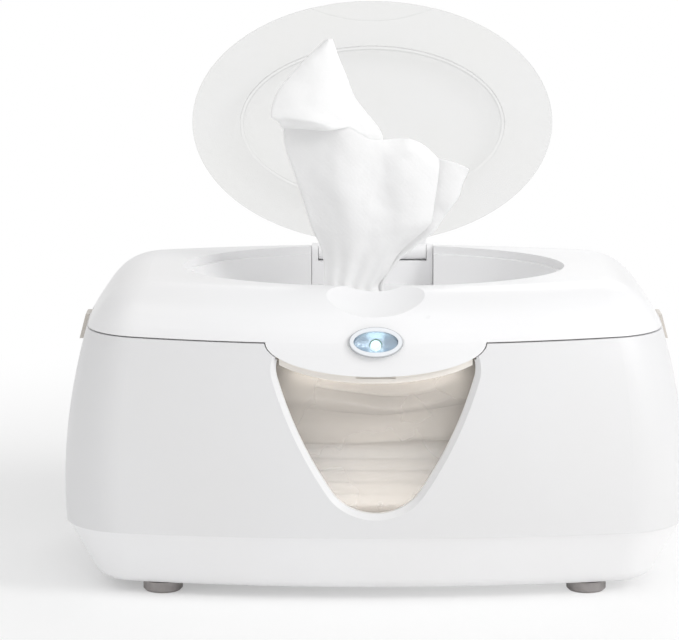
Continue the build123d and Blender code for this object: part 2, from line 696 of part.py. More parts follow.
with BuildPart() as thermal_fuse:
    with Locations((58, 0, LINER_BOTTOM + 3.9 + 2)):
        Cylinder(2, 12, rotation=(90, 0, 0))
finish(thermal_fuse, "thermal_fuse")

with BuildPart() as orifice_seal:
    with BuildSketch(Plane.XY.offset(WELL_FLOOR)):
        Ellipse(ORIFICE_X + 4, ORIFICE_Y + 4)
    extrude(amount=1.4)
    fillet(orifice_seal.edges().group_by(Axis.Z)[-1], 1)
    with BuildSketch(Plane.XY.offset(WELL_FLOOR - 2.2)):
        Ellipse(ORIFICE_X, ORIFICE_Y)
    extrude(amount=2.2)
    with BuildSketch(Plane.XY.offset(WELL_FLOOR - 2.2)):
        Ellipse(ORIFICE_X - 5, ORIFICE_Y - 4)
    extrude(amount=2.6, mode=Mode.SUBTRACT)
    with BuildSketch(Plane.XY.offset(WELL_FLOOR - 3)):
        SlotOverall(40, 7)
    extrude(amount=8, mode=Mode.SUBTRACT)
finish(orifice_seal, "orifice_seal")

with BuildPart() as flip_hinge_bracket:
    with Locations((0, (59.5 + 69.2) / 2, WELL_FLOOR)):
        Box(2 * BLOCK_HALF, 9.7, 11.6, align=(Align.CENTER, Align.CENTER, Align.MIN))
    for side in (-1, 1):
        with BuildSketch(Plane.YZ.offset(side * (BARREL_HALF + 0.3))):
            with Locations((FLIP_Y, FLIP_Z)):
                Circle(BARREL_RADIUS)
            with Locations((FLIP_Y, (WELL_FLOOR + FLIP_Z) / 2)):
                Rectangle(2 * BARREL_RADIUS, FLIP_Z - WELL_FLOOR)
        extrude(amount=side * (BLOCK_HALF - BARREL_HALF - 0.3))
    with Locations((0, FLIP_Y, FLIP_Z)):
        Cylinder(HINGE_PIN_RADIUS, 70, rotation=(0, 90, 0), mode=Mode.SUBTRACT)
finish(flip_hinge_bracket, "flip_hinge_bracket")

with BuildPart() as flip_hinge_pin:
    with Locations((0, FLIP_Y, FLIP_Z)):
        Cylinder(HINGE_PIN_RADIUS, 2 * BLOCK_HALF, rotation=(0, 90, 0))
finish(flip_hinge_pin, "flip_hinge_pin")

# ==== Button ====

with BuildPart() as button_bezel:
    with BuildSketch(BUTTON_FACE.offset(-1.0)):
        Ellipse(BEZEL_X, BEZEL_Y)
    extrude(amount=1.6)
    fillet(button_bezel.edges().group_by(Axis.Y)[0], 0.7)
    with BuildSketch(BUTTON_FACE.offset(-6)):
        Ellipse(BEZEL_X - 0.6, BEZEL_Y - 0.6)
    extrude(amount=6)
    with BuildSketch(BUTTON_FACE.offset(-6)):
        Ellipse(BEZEL_X - 1.6, BEZEL_Y - 1.5)
    extrude(amount=5.4, mode=Mode.SUBTRACT)
    with BuildSketch(BUTTON_FACE.offset(-6)):
        Ellipse(BEZEL_X - 2.2, BEZEL_Y - 2.1)
    extrude(amount=8, mode=Mode.SUBTRACT)
finish(button_bezel, "button_bezel")

with BuildPart() as button_lens:
    with BuildSketch(BUTTON_FACE.offset(-2.4)):
        Ellipse(BEZEL_X - 1.9, BEZEL_Y - 1.8)
    extrude(amount=1.5)
    with BuildSketch(BUTTON_FACE.offset(-0.9)):
        Ellipse(BEZEL_X - 2.5, BEZEL_Y - 2.4)
    extrude(amount=1.6)
    fillet(button_lens.edges().group_by(Axis.Y)[0], 0.8)
finish(button_lens, "button_lens")

with BuildPart() as button_reflector:
    with BuildSketch(BUTTON_FACE.offset(-5.2)):
        Ellipse(BEZEL_X - 1.9, BEZEL_Y - 1.8)
    extrude(amount=2.8)
    dish = [oval(BUTTON_FACE.offset(-4.8), 3.4, 3.1), oval(BUTTON_FACE.offset(-2.4), 9.4, 4.4)]
    loft(dish, ruled=True, mode=Mode.SUBTRACT)
    with BuildSketch(BUTTON_FACE.offset(-6)):
        Circle(2.9)
    extrude(amount=4, mode=Mode.SUBTRACT)
finish(button_reflector, "button_reflector")

with BuildPart() as button_spring:
    with BuildSketch(BUTTON_FACE.offset(-9)):
        with Locations((-6.6, 0)):
            Circle(1.7)
            Circle(1.1, mode=Mode.SUBTRACT)
    extrude(amount=3.8)
finish(button_spring, "button_spring")

with BuildPart() as button_led:
    with BuildSketch(BUTTON_FACE.offset(-9)):
        Circle(2.5)
    extrude(amount=4.8)
    fillet(button_led.edges().group_by(Axis.Y)[0], 2)
finish(button_led, "button_led")

with BuildPart() as control_pcb:
    with BuildSketch(BUTTON_FACE.offset(-10.6)):
        with Locations((0, 1.5)):
            RectangleRounded(46, 14, 1.5)
        with Locations((19, 6), (-19, 6)):
            Circle(1.1, mode=Mode.SUBTRACT)
    extrude(amount=1.6)
finish(control_pcb, "control_pcb")

with BuildPart() as tact_switch:
    with BuildSketch(BUTTON_FACE.offset(-9)):
        with Locations((7.2, 0)):
            Rectangle(5, 5)
    extrude(amount=1.8)
    with BuildSketch(BUTTON_FACE.offset(-7.2)):
        with Locations((7.2, 0)):
            Circle(1.4)
    extrude(amount=0.4)
finish(tact_switch, "tact_switch")

with BuildPart() as pcb_screws:
    with BuildSketch(BUTTON_FACE.offset(-10.6)):
        with Locations((19, 6), (-19, 6)):
            Circle(1.1)
    extrude(amount=6)
    with BuildSketch(BUTTON_FACE.offset(-10.6)):
        with Locations((19, 6), (-19, 6)):
            Circle(2.1)
    extrude(amount=-1.4)
finish(pcb_screws, "pcb_screws")

LID_RUN = ((LEAD_END, HINGE_Y, HINGE_Z), (LEAD_X, HINGE_Y, HINGE_Z), (LEAD_X, 89.6, 121.9), (LEAD_X, 76, 121.9))
lid_lead = swept_run(LID_RUN, 1.4, LEAD_RADIUS)
finish(lid_lead, "lid_lead")

# ==== Flip lid ====

PANEL_Y = -FLIP_Y

with BuildPart() as flip_lid_panel:
    with BuildSketch(FLIP_HINGE):
        with Locations((0, PANEL_Y)):
            Ellipse(FLIP_X, FLIP_DEPTH)
        with Locations((0, -8.4)):
            Rectangle(2 * BARREL_HALF - 4, 7.8)
    extrude(amount=FLIP_THICKNESS)
    with BuildSketch(FLIP_HINGE):
        with Locations((0, PANEL_Y + 1.2)):
            Ellipse(RING_X, RING_Y)
            Ellipse(RING_X - 1.6, RING_Y - 1.6, mode=Mode.SUBTRACT)
    extrude(amount=-RING_HEIGHT)
    with BuildSketch(FLIP_HINGE):
        with Locations((0, LIP_INNER - LIP_RADIUS)):
            Circle(LIP_RADIUS)
    extrude(amount=LIP_DEPTH, mode=Mode.SUBTRACT)
finish(flip_lid_panel, "flip_lid_panel")

with BuildPart() as flip_hinge_arm:
    with Locations((0, FLIP_Y, FLIP_Z)):
        Cylinder(BARREL_RADIUS, 2 * BARREL_HALF, rotation=(0, 90, 0))
    with BuildSketch(FLIP_HINGE):
        with Locations((0, -4.4)):
            Rectangle(2 * BARREL_HALF, 8.8)
    extrude(amount=-2.4)
    with Locations((0, FLIP_Y, FLIP_Z)):
        Cylinder(HINGE_PIN_RADIUS + RUNNING, 70, rotation=(0, 90, 0), mode=Mode.SUBTRACT)
finish(flip_hinge_arm, "flip_hinge_arm")

# ==== Wipe ====

WIPE_THICKNESS = 1.0
WIPE_LEVELS = (
    (113.0, -2, 15, 1.0),
    (124.0, -3, 16, 1.2),
    (138.0, -6, 24, 6.0),
    (160.0, -4, 34, 11.0),
    (185.0, 2, 46, 13.0),
    (206.0, 0, 50, 12.0),
    (226.0, -10, 40, 8.0),
    (244.0, -18, 26, 4.0),
)


def wipe_section(level, centre, half_width, depth):
    """One level of the standing wipe: a wave of four arcs, one sheet thick."""
    xs = [centre + half_width * (i - 2) / 2 for i in range(5)]
    with BuildSketch(Plane.XY.offset(level)) as section:
        with BuildLine():
            for thick in (-WIPE_THICKNESS / 2, WIPE_THICKNESS / 2):
                for i in range(4):
                    bow = thick + depth * (-1) ** i / 2
                    middle = (xs[i] + xs[i + 1]) / 2
                    ThreePointArc((xs[i], thick), (middle, bow), (xs[i + 1], thick))
            for x in (xs[0], xs[4]):
                Line((x, -WIPE_THICKNESS / 2), (x, WIPE_THICKNESS / 2))
        make_face()
    return section.sketch


with BuildPart() as dispensed_wipe:
    loft([wipe_section(*row) for row in WIPE_LEVELS])
finish(dispensed_wipe, "dispensed_wipe")
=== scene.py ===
import math

import bpy
from bpy.props import FloatProperty, FloatVectorProperty, IntProperty, PointerProperty
from mathutils import Matrix, Vector, noise


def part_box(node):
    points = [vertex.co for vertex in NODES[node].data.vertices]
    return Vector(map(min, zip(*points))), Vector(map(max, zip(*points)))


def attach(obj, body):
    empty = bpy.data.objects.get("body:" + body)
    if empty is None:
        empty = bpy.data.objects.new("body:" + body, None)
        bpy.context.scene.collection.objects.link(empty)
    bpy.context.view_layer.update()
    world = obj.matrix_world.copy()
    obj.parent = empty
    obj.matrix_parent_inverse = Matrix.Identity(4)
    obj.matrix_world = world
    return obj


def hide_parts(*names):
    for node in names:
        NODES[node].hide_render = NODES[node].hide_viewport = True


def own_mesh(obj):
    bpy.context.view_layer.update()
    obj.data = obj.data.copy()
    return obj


bl_info = {
    "name": "Baby wipe warmer",
    "version": (1, 0, 0),
    "blender": (4, 5, 0),
    "location": "View3D > Sidebar > Warmer",
    "description": "Dresses the wipe warmer: moulded casings, clear lid, lit button and folded wipes",
    "category": "Object",
}

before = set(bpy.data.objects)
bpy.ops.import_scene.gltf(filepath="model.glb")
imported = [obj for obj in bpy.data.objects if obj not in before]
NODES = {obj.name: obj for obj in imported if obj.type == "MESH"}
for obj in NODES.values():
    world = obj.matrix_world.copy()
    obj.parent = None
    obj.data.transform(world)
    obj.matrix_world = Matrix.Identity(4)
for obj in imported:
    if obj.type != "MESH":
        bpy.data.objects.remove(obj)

# The plane of the button: its middle, how far it leans back, and a frame whose Z axis points out of it
BUTTON_MIDDLE = Vector((0, -0.089, 0.1204))
BUTTON_LEAN = math.radians(25)
BUTTON_FACE = Matrix.Translation(BUTTON_MIDDLE) @ Matrix.Rotation(math.pi / 2 - BUTTON_LEAN, 4, "X")

# Finishes that one step makes and a later one uses
FINISH = {}

PLASTIC_IOR = 1.49


def shade(*levels):
    """A colour as a paint chart gives it, 0 to 255, in the light values that shaders use."""
    return tuple((c / 255 / 12.92) if c < 11 else ((c / 255 + 0.055) / 1.055) ** 2.4 for c in levels)


def tint(name, description, *levels):
    """A colour property, with a default from a paint chart."""
    return FloatVectorProperty(name=name, description=description, subtype="COLOR", default=shade(*levels))


def measure(name, description, metres):
    """A length property."""
    return FloatProperty(name=name, description=description, default=metres, unit="LENGTH")


class WarmerColours(bpy.types.PropertyGroup):
    """Colours of the warmer's materials."""

    casing: tint("Casing", "White of the casing", 233, 233, 234)
    tray: tint("Tray", "White of the lower tray", 249, 249, 250)
    lid: tint("Lid", "White of the lid", 245, 245, 246)
    liner: tint("Liner", "Cream of the lid's inner cover", 248, 243, 236)
    tub: tint("Tub", "Tint of the see-through tub", 250, 240, 229)
    clear: tint("Clear plastic", "Tint of the flip lid", 220, 220, 219)
    rubber: tint("Feet", "Grey of the rubber feet", 168, 163, 162)
    # Painted shade: the release tabs are white plastic, given the grey they show in shade
    tab: tint("Tabs", "White of the release tabs, in painted shade", 214, 209, 202)
    reflector: tint("Reflector", "Blue grey of the dish under the button", 178, 196, 212)
    glow: tint("Glow", "Light of the lamp in the button", 225, 248, 255)
    wipe: tint("Wipe", "White of the damp cloth", 253, 253, 253)


class WarmerSizes(bpy.types.PropertyGroup):
    """Sizes that the dressed pieces are made to."""

    wipe_width: measure("Wipe width", "Width a wipe is cut to", 0.15)
    wipe_length: measure("Wipe length", "Length a wipe is cut to", 0.15)
    wipe_thickness: measure("Wipe thickness", "Thickness of the damp cloth", 0.0004)
    pack_layers: IntProperty(
        name="Layers", description="Folded wipes left in the tub", default=5, min=1, max=12
    )
    pack_layer: measure("Layer height", "Height of one folded wipe", 0.0056)
    pack_width: measure("Pack width", "Width of a folded wipe", 0.176)
    pack_depth: measure("Pack depth", "Depth of a folded wipe", 0.118)
    spring_wire: measure("Spring wire", "Radius of spring wire", 0.00022)
    spring_turns: IntProperty(name="Spring turns", description="Turns of a spring", default=7, min=2, max=20)
    thread_pitch: measure("Thread pitch", "Rise of a screw's thread in one turn", 0.0009)


def add_node(tree, kind, settings=None, values=None):
    """Adds a node, sets it up, then fills its sockets with numbers, colours or links."""
    made = tree.nodes.new(kind)
    for key, value in (settings or {}).items():
        setattr(made, key, value)
    for key, value in (values or {}).items():
        value = value.socket if isinstance(value, Signal) else value
        if isinstance(value, bpy.types.NodeSocket):
            tree.links.new(value, made.inputs[key])
        else:
            made.inputs[key].default_value = value
    return made


# ---- Shader building ----
class Signal:
    """A number that varies over a surface. Sums and products on it add Math nodes."""

    def __init__(self, paint, socket):
        self.paint, self.socket = paint, socket

    def math(self, operation, *values):
        made = self.paint.node("ShaderNodeMath", {"operation": operation}, dict(enumerate(values)))
        return Signal(self.paint, made.outputs[0])

    def __add__(self, other):
        return self.math("ADD", self, other)

    __radd__ = __add__

    def __mul__(self, other):
        return self.math("MULTIPLY", self, other)

    __rmul__ = __mul__

    def __sub__(self, other):
        return self.math("SUBTRACT", self, other)

    def __rsub__(self, other):
        return self.math("SUBTRACT", other, self)

    def __truediv__(self, other):
        return self.math("DIVIDE", self, other)

    def __pow__(self, other):
        return self.math("POWER", self, other)

    def wave(self):
        return self.math("SINE", self)

    def size(self):
        return self.math("ABSOLUTE", self)

    def between(self, low, high):
        """0 below low, 1 above high, smooth in between."""
        values = {"Value": self, "From Min": low, "From Max": high}
        made = self.paint.node("ShaderNodeMapRange", {"interpolation_type": "SMOOTHSTEP"}, values)
        return Signal(self.paint, made.outputs["Result"])


class Paint:
    """The node tree of one material."""

    def __init__(self, name):
        self.material = bpy.data.materials.new(name)
        self.material.use_nodes = True
        self.tree = self.material.node_tree
        self.tree.nodes.clear()
        self.where = self.node("ShaderNodeTexCoord").outputs["Object"]

    def node(self, kind, settings=None, values=None):
        return add_node(self.tree, kind, settings, values)

    def noise(self, scale, detail=2.0, roughness=0.5, vector=None):
        """Cloudy pattern, with scale in patches per metre."""
        values = {"Vector": vector or self.where, "Scale": scale, "Detail": detail, "Roughness": roughness}
        return Signal(self, self.node("ShaderNodeTexNoise", values=values).outputs["Fac"])

    def cells(self, scale):
        """Distance from the nearest of many scattered points, with scale in points per metre."""
        settings = {"feature": "F1", "distance": "EUCLIDEAN"}
        made = self.node("ShaderNodeTexVoronoi", settings, {"Vector": self.where, "Scale": scale})
        return Signal(self, made.outputs["Distance"])

    def stretched(self, x, y, z, turn=(0, 0, 0)):
        """The surface's own coordinates, scaled by a factor along each axis."""
        values = {"Vector": self.where, "Scale": (x, y, z), "Rotation": turn}
        return self.node("ShaderNodeMapping", values=values).outputs["Vector"]

    def axis(self, name):
        """One coordinate in metres."""
        return Signal(self, self.node("ShaderNodeSeparateXYZ", values={0: self.where}).outputs[name])

    def blend(self, share, first, second):
        """Mixes two colours by a share."""
        values = {0: share, 6: colour4(first), 7: colour4(second)}
        return self.node("ShaderNodeMix", {"data_type": "RGBA"}, values).outputs[2]

    def bump(self, height, distance, strength=1.0, below=None):
        """Normals of a rough skin that rises by a distance in metres, laid over the skin below."""
        values = {"Height": height, "Distance": distance, "Strength": strength}
        if below is not None:
            values["Normal"] = below
        return self.node("ShaderNodeBump", values=values).outputs["Normal"]

    def surface(self, values):
        return self.node("ShaderNodeBsdfPrincipled", values=values).outputs[0]

    def end(self, shader):
        """The finished material."""
        self.node("ShaderNodeOutputMaterial", values={"Surface": shader})
        return self.material

    def end_plain(self, values):
        """The finished material, with one surface."""
        return self.end(self.surface(values))

    def end_mixed(self, share, first, second):
        """The finished material, with two shaders mixed by a share."""
        return self.end(self.node("ShaderNodeMixShader", values={0: share, 1: first, 2: second}).outputs[0])


def colour4(value):
    """Three numbers become a colour with full opacity; a socket stays as it is."""
    if isinstance(value, (bpy.types.NodeSocket, Signal)):
        return value
    return (*tuple(value)[:3], 1.0)


def darker(colour, share):
    """The colour with its light multiplied by a share."""
    return tuple(c * share for c in tuple(colour)[:3])


def toned(colour, factors):
    """The colour with each channel multiplied by its own factor."""
    return tuple(c * f for c, f in zip(tuple(colour)[:3], factors))


def moulded(name, colour, roughness, grain=0.00002, grain_scale=1500.0):
    """Satin moulded plastic: fine spark grain, slow drift of tone and faint flow marks."""
    paint = Paint(name)
    drift = paint.noise(9.0, 3.0)
    cloud = paint.noise(55.0, 2.0)
    fine = paint.noise(grain_scale, 2.0, 0.6)
    flow = paint.noise(30.0, 2.0, vector=paint.stretched(1.0, 1.0, 3.0))
    tone = paint.blend(drift.between(0.3, 0.75), colour, toned(colour, (0.985, 0.98, 0.972)))
    skin = paint.bump(fine, grain)
    skin = paint.bump(flow, 0.0002, 0.25, skin)
    rough = roughness + 0.10 * cloud - 0.05
    return paint.end_plain({"Base Color": tone, "Roughness": rough, "Normal": skin, "IOR": PLASTIC_IOR})


def see_through(name, colour, opacity, edge_opacity, roughness=0.06, haze=0.03):
    """Clear moulded plastic that is denser and darker where the eye meets it at a slant."""
    paint = Paint(name)
    slant = Signal(paint, paint.node("ShaderNodeLayerWeight", values={"Blend": 0.35}).outputs["Facing"])
    cloud = paint.noise(26.0, 3.0)
    fine = paint.noise(700.0, 2.0)
    skin = paint.bump(cloud, 0.0006, 0.3)
    skin = paint.bump(fine, 0.0000006, 0.4, skin)
    tone = paint.blend(cloud.between(0.35, 0.7), colour, toned(colour, (1.02, 1.02, 1.0)))
    tone = paint.blend(slant ** 3.0, tone, darker(colour, 0.5))
    rough = roughness + 0.06 * cloud
    values = {"Base Color": tone, "Roughness": rough, "Normal": skin, "IOR": PLASTIC_IOR}
    solid = paint.surface(values | {"Coat Weight": 0.4, "Coat Roughness": 0.04})
    empty = paint.node("ShaderNodeBsdfTransparent", values={"Color": (1, 1, 1, 1)}).outputs[0]
    share = opacity + (edge_opacity - opacity) * slant ** 2.0 + haze * cloud
    return paint.end_mixed(share, empty, solid)


def metal(name, colour, roughness, brushed=(1.0, 1.0, 1.0)):
    """Bright metal with brushing along the axis that has the smallest factor."""
    paint = Paint(name)
    lines = paint.noise(900.0, 3.0, 0.6, paint.stretched(*brushed))
    patch = paint.noise(120.0, 2.0)
    tone = paint.blend(patch.between(0.35, 0.7), colour, darker(colour, 0.86))
    rough, skin = roughness + 0.16 * lines - 0.06, paint.bump(lines, 0.00002)
    return paint.end_plain({"Base Color": tone, "Metallic": 1.0, "Roughness": rough, "Normal": skin})


def rubber(name, colour):
    """Matt rubber with a dusty bloom and a fine tooth."""
    paint = Paint(name)
    dust = paint.noise(260.0, 4.0, 0.65)
    skin = paint.bump(paint.noise(2600.0, 2.0), 0.00004, 0.8)
    tone = paint.blend(dust.between(0.4, 0.75), darker(colour, 0.92), toned(colour, (1.08, 1.07, 1.06)))
    return paint.end_plain({"Base Color": tone, "Roughness": 0.62 + 0.2 * dust, "Normal": skin, "IOR": 1.45})


def nonwoven(name, colour, glow):
    """Damp spunlace cloth: tangled fibres, faint mesh of water jets, and a share of light through it."""
    paint = Paint(name)
    fibre_a = paint.noise(2100.0, 3.0, 0.7, paint.stretched(1.0, 1.0, 0.22, (0, 0.35, 0)))
    fibre_b = paint.noise(1700.0, 3.0, 0.7, paint.stretched(0.25, 1.0, 1.0, (0, 0.6, 0)))
    pucker = paint.noise(210.0, 3.0, 0.55)
    soft = paint.noise(60.0, 2.0)
    jets = (paint.axis("Z") * 2600.0).wave() * (paint.axis("X") * 2600.0).wave()
    tangle = fibre_a * 0.5 + fibre_b * 0.5
    patches = (tangle * 0.6 + soft * 0.4).between(0.36, 0.66)
    tone = paint.blend(patches, toned(colour, (0.988, 0.988, 0.989)), colour)
    skin = paint.bump(soft, 0.0016, 0.35)
    skin = paint.bump(pucker, 0.0005, 0.5, skin)
    skin = paint.bump(tangle + 0.15 * jets, 0.00012, 0.6, skin)
    values = {"Base Color": tone, "Roughness": 0.72 + 0.16 * tangle, "Normal": skin, "IOR": 1.38}
    cloth = paint.surface(values | {"Sheen Weight": 0.15, "Sheen Roughness": 0.5})
    lit_through = paint.node("ShaderNodeBsdfTranslucent", values={"Color": tone, "Normal": skin}).outputs[0]
    return paint.end_mixed(glow, cloth, lit_through)


def felted(name, colour):
    """Needled felt pad."""
    paint = Paint(name)
    fuzz = paint.noise(1500.0, 4.0, 0.75)
    tone = paint.blend(fuzz.between(0.3, 0.7), darker(colour, 0.78), colour)
    skin = paint.bump(fuzz, 0.0003)
    return paint.end_plain({"Base Color": tone, "Roughness": 0.95, "Normal": skin, "Sheen Weight": 0.3})


def circuit(name, colour):
    """Coated circuit board with paler tracks under the coat."""
    paint = Paint(name)
    tracks = (paint.axis("X") * 2900.0).wave() * (paint.axis("Z") * 2300.0).wave()
    track = tracks.between(0.25, 0.4)
    tone = paint.blend(track, colour, toned(colour, (1.5, 1.7, 1.4)))
    speck = paint.noise(1800.0, 2.0)
    skin = paint.bump(track, 0.00003)
    return paint.end_plain({"Base Color": tone, "Roughness": 0.3 + 0.2 * speck, "Normal": skin, "IOR": 1.5})


def film(name, colour):
    """Amber heating film with the dark winding of its track."""
    paint = Paint(name)
    turns = (paint.axis("X") * 1100.0).wave().between(0.55, 0.75)
    sheen = paint.noise(90.0, 2.0)
    tone = paint.blend(turns, colour, darker(colour, 0.42))
    rough, skin = 0.22 + 0.2 * sheen, paint.bump(turns, 0.00004)
    return paint.end_plain({"Base Color": tone, "Roughness": rough, "Normal": skin})


def lamp_glow(name, colour, strength):
    """Clear lamp body that shines, with dimmer patches between its facets."""
    paint = Paint(name)
    facets = paint.cells(700.0).between(0.2, 0.8)
    glow = paint.blend(facets, colour, darker(colour, 0.6))
    values = {"Base Color": colour4(colour), "Roughness": 0.1 + 0.1 * facets, "Emission Color": glow}
    return paint.end_plain(values | {"Emission Strength": strength})


def button_spot(paint):
    """Place on the button's face in metres, across it and up it."""
    back = (paint.axis("Y") - BUTTON_MIDDLE.y) * math.sin(BUTTON_LEAN)
    return paint.axis("X"), back + (paint.axis("Z") - BUTTON_MIDDLE.z) * math.cos(BUTTON_LEAN)


def button_ring(name, colour):
    """Satin ring with painted shade along its outer edge, a dark line for the groove around it."""
    half_width, half_height = 0.0121, 0.007
    paint = Paint(name)
    x, y = button_spot(paint)
    out = ((x / half_width) ** 2.0 + (y / half_height) ** 2.0) ** 0.5
    fine = paint.noise(1500.0, 2.0)
    # Painted shade: a thin darker band along the outer edge, where the groove around the ring lies in shade
    tone = paint.blend(out.between(0.93, 0.985), colour, darker(colour, 0.55))
    rough, skin = 0.22 + 0.08 * fine, paint.bump(fine, 0.00001)
    return paint.end_plain({"Base Color": tone, "Roughness": rough, "Normal": skin, "IOR": PLASTIC_IOR})


def lit_dish(name, colour, glow, strength):
    """Pale metal dish with cut facets around the lamp, with a painted highlight down its middle and a
    painted glow of the lamp's light towards the middle and the top.
    """
    paint = Paint(name)
    x, y = button_spot(paint)
    cut = paint.cells(620.0).between(0.15, 0.75)
    lines = paint.noise(700.0, 2.0)
    middle = 1.0 - x.size().between(0.0028, 0.0046)
    upper = y.between(0.0012, 0.0046)
    # Painted highlight: paler facets in a band down the middle
    tone = paint.blend(middle * cut, colour, toned(colour, (1.12, 1.12, 1.1)))
    # Painted glow: emission for the lamp's light on the dish, strongest in the middle band and towards the
    # top
    lit = (0.75 * middle * (1.0 - 0.6 * cut) + 0.55 * upper) * (0.85 + 0.3 * lines)
    shine = paint.blend(lit.between(0.0, 1.1), (0.0, 0.0, 0.0), glow)
    rough, skin = 0.34 + 0.16 * lines, paint.bump(cut, 0.0002, 0.5)
    values = {"Base Color": tone, "Metallic": 0.75, "Roughness": rough, "Normal": skin}
    return paint.end_plain(values | {"Emission Color": shine, "Emission Strength": strength})


def dressed(finish, *names):
    """Gives CAD nodes a finish."""
    for name in names:
        mesh = NODES[name].data
        mesh.materials.clear()
        mesh.materials.append(finish)


# ---- Mesh building ----
def through(points, at):
    """Smooth value at a place, through a list of (place, value) in rising order."""
    last = len(points) - 1
    i = max(0, min(last - 1, sum(1 for p in points[1:-1] if p[0] <= at)))
    before, after = points[max(i - 1, 0)], points[min(i + 2, last)]
    (x0, y0), (x1, y1) = points[i], points[i + 1]
    t = max(0.0, min(1.0, (at - x0) / (x1 - x0)))
    span = x1 - x0
    lean0 = (y1 - before[1]) / (x1 - before[0]) * span
    lean1 = (after[1] - y0) / (after[0] - x0) * span
    start = (2 * t**3 - 3 * t**2 + 1) * y0 + (t**3 - 2 * t**2 + t) * lean0
    return start + (3 * t**2 - 2 * t**3) * y1 + (t**3 - t**2) * lean1


def mix(start, end, share):
    """The value a share of the way from start to end."""
    return start + (end - start) * share


def ease(value, low, high):
    """0 below low, 1 above high, smooth in between."""
    t = max(0.0, min(1.0, (value - low) / (high - low)))
    return t * t * (3 - 2 * t)


def grid_faces(columns, rows):
    """Faces of a grid of points numbered row by row."""
    return [
        (a, a + 1, a + columns + 1, a + columns)
        for r in range(rows - 1)
        for a in range(r * columns, (r + 1) * columns - 1)
    ]


def ring_faces(rings, around):
    """Faces of a closed form of rings of points, capped at both ends."""
    faces = []
    for a in range(0, (rings - 1) * around, around):
        for k in range(around):
            n = (k + 1) % around
            faces.append((a + k, a + n, a + around + n, a + around + k))
    faces.append(tuple(reversed(range(around))))
    faces.append(tuple(range((rings - 1) * around, rings * around)))
    return faces


def new_piece(name, points, faces, finish):
    """A mesh object at the origin from points in millimetres."""
    mesh = bpy.data.meshes.new(name)
    mesh.from_pydata([(x / 1000, y / 1000, z / 1000) for x, y, z in points], [], faces)
    mesh.materials.append(finish)
    mesh.validate()
    for polygon in mesh.polygons:
        polygon.use_smooth = True
    piece = bpy.data.objects.new(name, mesh)
    bpy.context.scene.collection.objects.link(piece)
    return piece


def made_plain(piece):
    """Turns the piece and its modifiers into a plain mesh."""
    bpy.context.view_layer.update()
    graph = bpy.context.evaluated_depsgraph_get()
    mesh = bpy.data.meshes.new_from_object(piece.evaluated_get(graph), depsgraph=graph)
    piece.modifiers.clear()
    piece.data = mesh
    return piece


def lathe(rings, around=48):
    """Points and faces of a closed form, from rings of (radius at an angle, level)."""
    points = []
    for radius, level in rings:
        for k in range(around):
            turn = 2 * math.pi * k / around
            points.append((radius(turn) * math.cos(turn), radius(turn) * math.sin(turn), level))
    return points, ring_faces(len(rings), around)


class Rule:
    """A Geometry Nodes tree with named inputs that ends in one plain piece."""

    def __init__(self, name, **inputs):
        self.tree = bpy.data.node_groups.new(name, "GeometryNodeTree")
        self.tree.interface.new_socket("Geometry", in_out="OUTPUT", socket_type="NodeSocketGeometry")
        self.values = {}
        for label, (kind, value) in inputs.items():
            socket = self.tree.interface.new_socket(label, in_out="INPUT", socket_type="NodeSocket" + kind)
            self.values[socket.identifier] = value
        self.entry = self.tree.nodes.new("NodeGroupInput")

    def given(self, label):
        return self.entry.outputs[label]

    def node(self, kind, settings=None, values=None):
        return add_node(self.tree, kind, settings, values)

    def placed(self, pattern, points):
        """Copies of a given piece, or of a geometry, on points."""
        if isinstance(pattern, str):
            source = self.node("GeometryNodeObjectInfo", values={"Object": self.given(pattern)})
            pattern = source.outputs["Geometry"]
        made = self.node("GeometryNodeInstanceOnPoints", values={"Points": points, "Instance": pattern})
        return made.outputs[0]

    def piece(self, name, geometry):
        """Ends the tree, runs it on a new object and keeps the plain mesh."""
        whole = self.node("GeometryNodeRealizeInstances", values={"Geometry": geometry})
        values = {"Geometry": whole.outputs[0], "Material": self.given("Finish")}
        painted = self.node("GeometryNodeSetMaterial", values=values)
        self.node("NodeGroupOutput", values={0: painted.outputs[0]})
        made = bpy.data.objects.new(name, bpy.data.meshes.new(name))
        bpy.context.scene.collection.objects.link(made)
        modifier = made.modifiers.new(name, "NODES")
        modifier.node_group = self.tree
        for identifier, value in self.values.items():
            modifier[identifier] = value
        return made_plain(made)


def as_cloth(piece, thickness):
    """Gives a sheet its thickness and rounds it."""
    wall = piece.modifiers.new("Thickness", "SOLIDIFY")
    wall.thickness, wall.offset = thickness, 0.0
    soft = piece.modifiers.new("Softness", "SUBSURF")
    soft.levels = soft.render_levels = 1
    return made_plain(piece)


# ---- Standing wipe, in millimetres ----
# Edges from the side seam to the front layer's and the back layer's free edge: (level, place across)
LEFT_EDGE = [
    (86, -36), (98, -26), (107, -19), (113, -16), (121, -18), (130, -22.9), (141, -23.8), (150, -25.6),
    (157, -29), (169, -32.9), (184, -36.9), (196, -40.7), (206.3, -43.6),
]
FRONT_EDGE = [
    (86, 30), (98, 22), (107, 14), (113, 11), (121, 8), (130, 2.0), (136, 5.9), (145, 11.3), (150, 16),
    (156.5, 23.5), (160.3, 27.2), (169.3, 28.1), (184, 28.9), (190, 30.8), (206, 33),
]
OUTER_EDGE = [
    (86, 38), (98, 28), (107, 17), (113, 13), (121, 12), (128, 5), (139, 9), (148, 19), (155, 28.1),
    (162, 33.2), (172.3, 40.1), (178.5, 42), (184.7, 45.3), (206, 50),
]
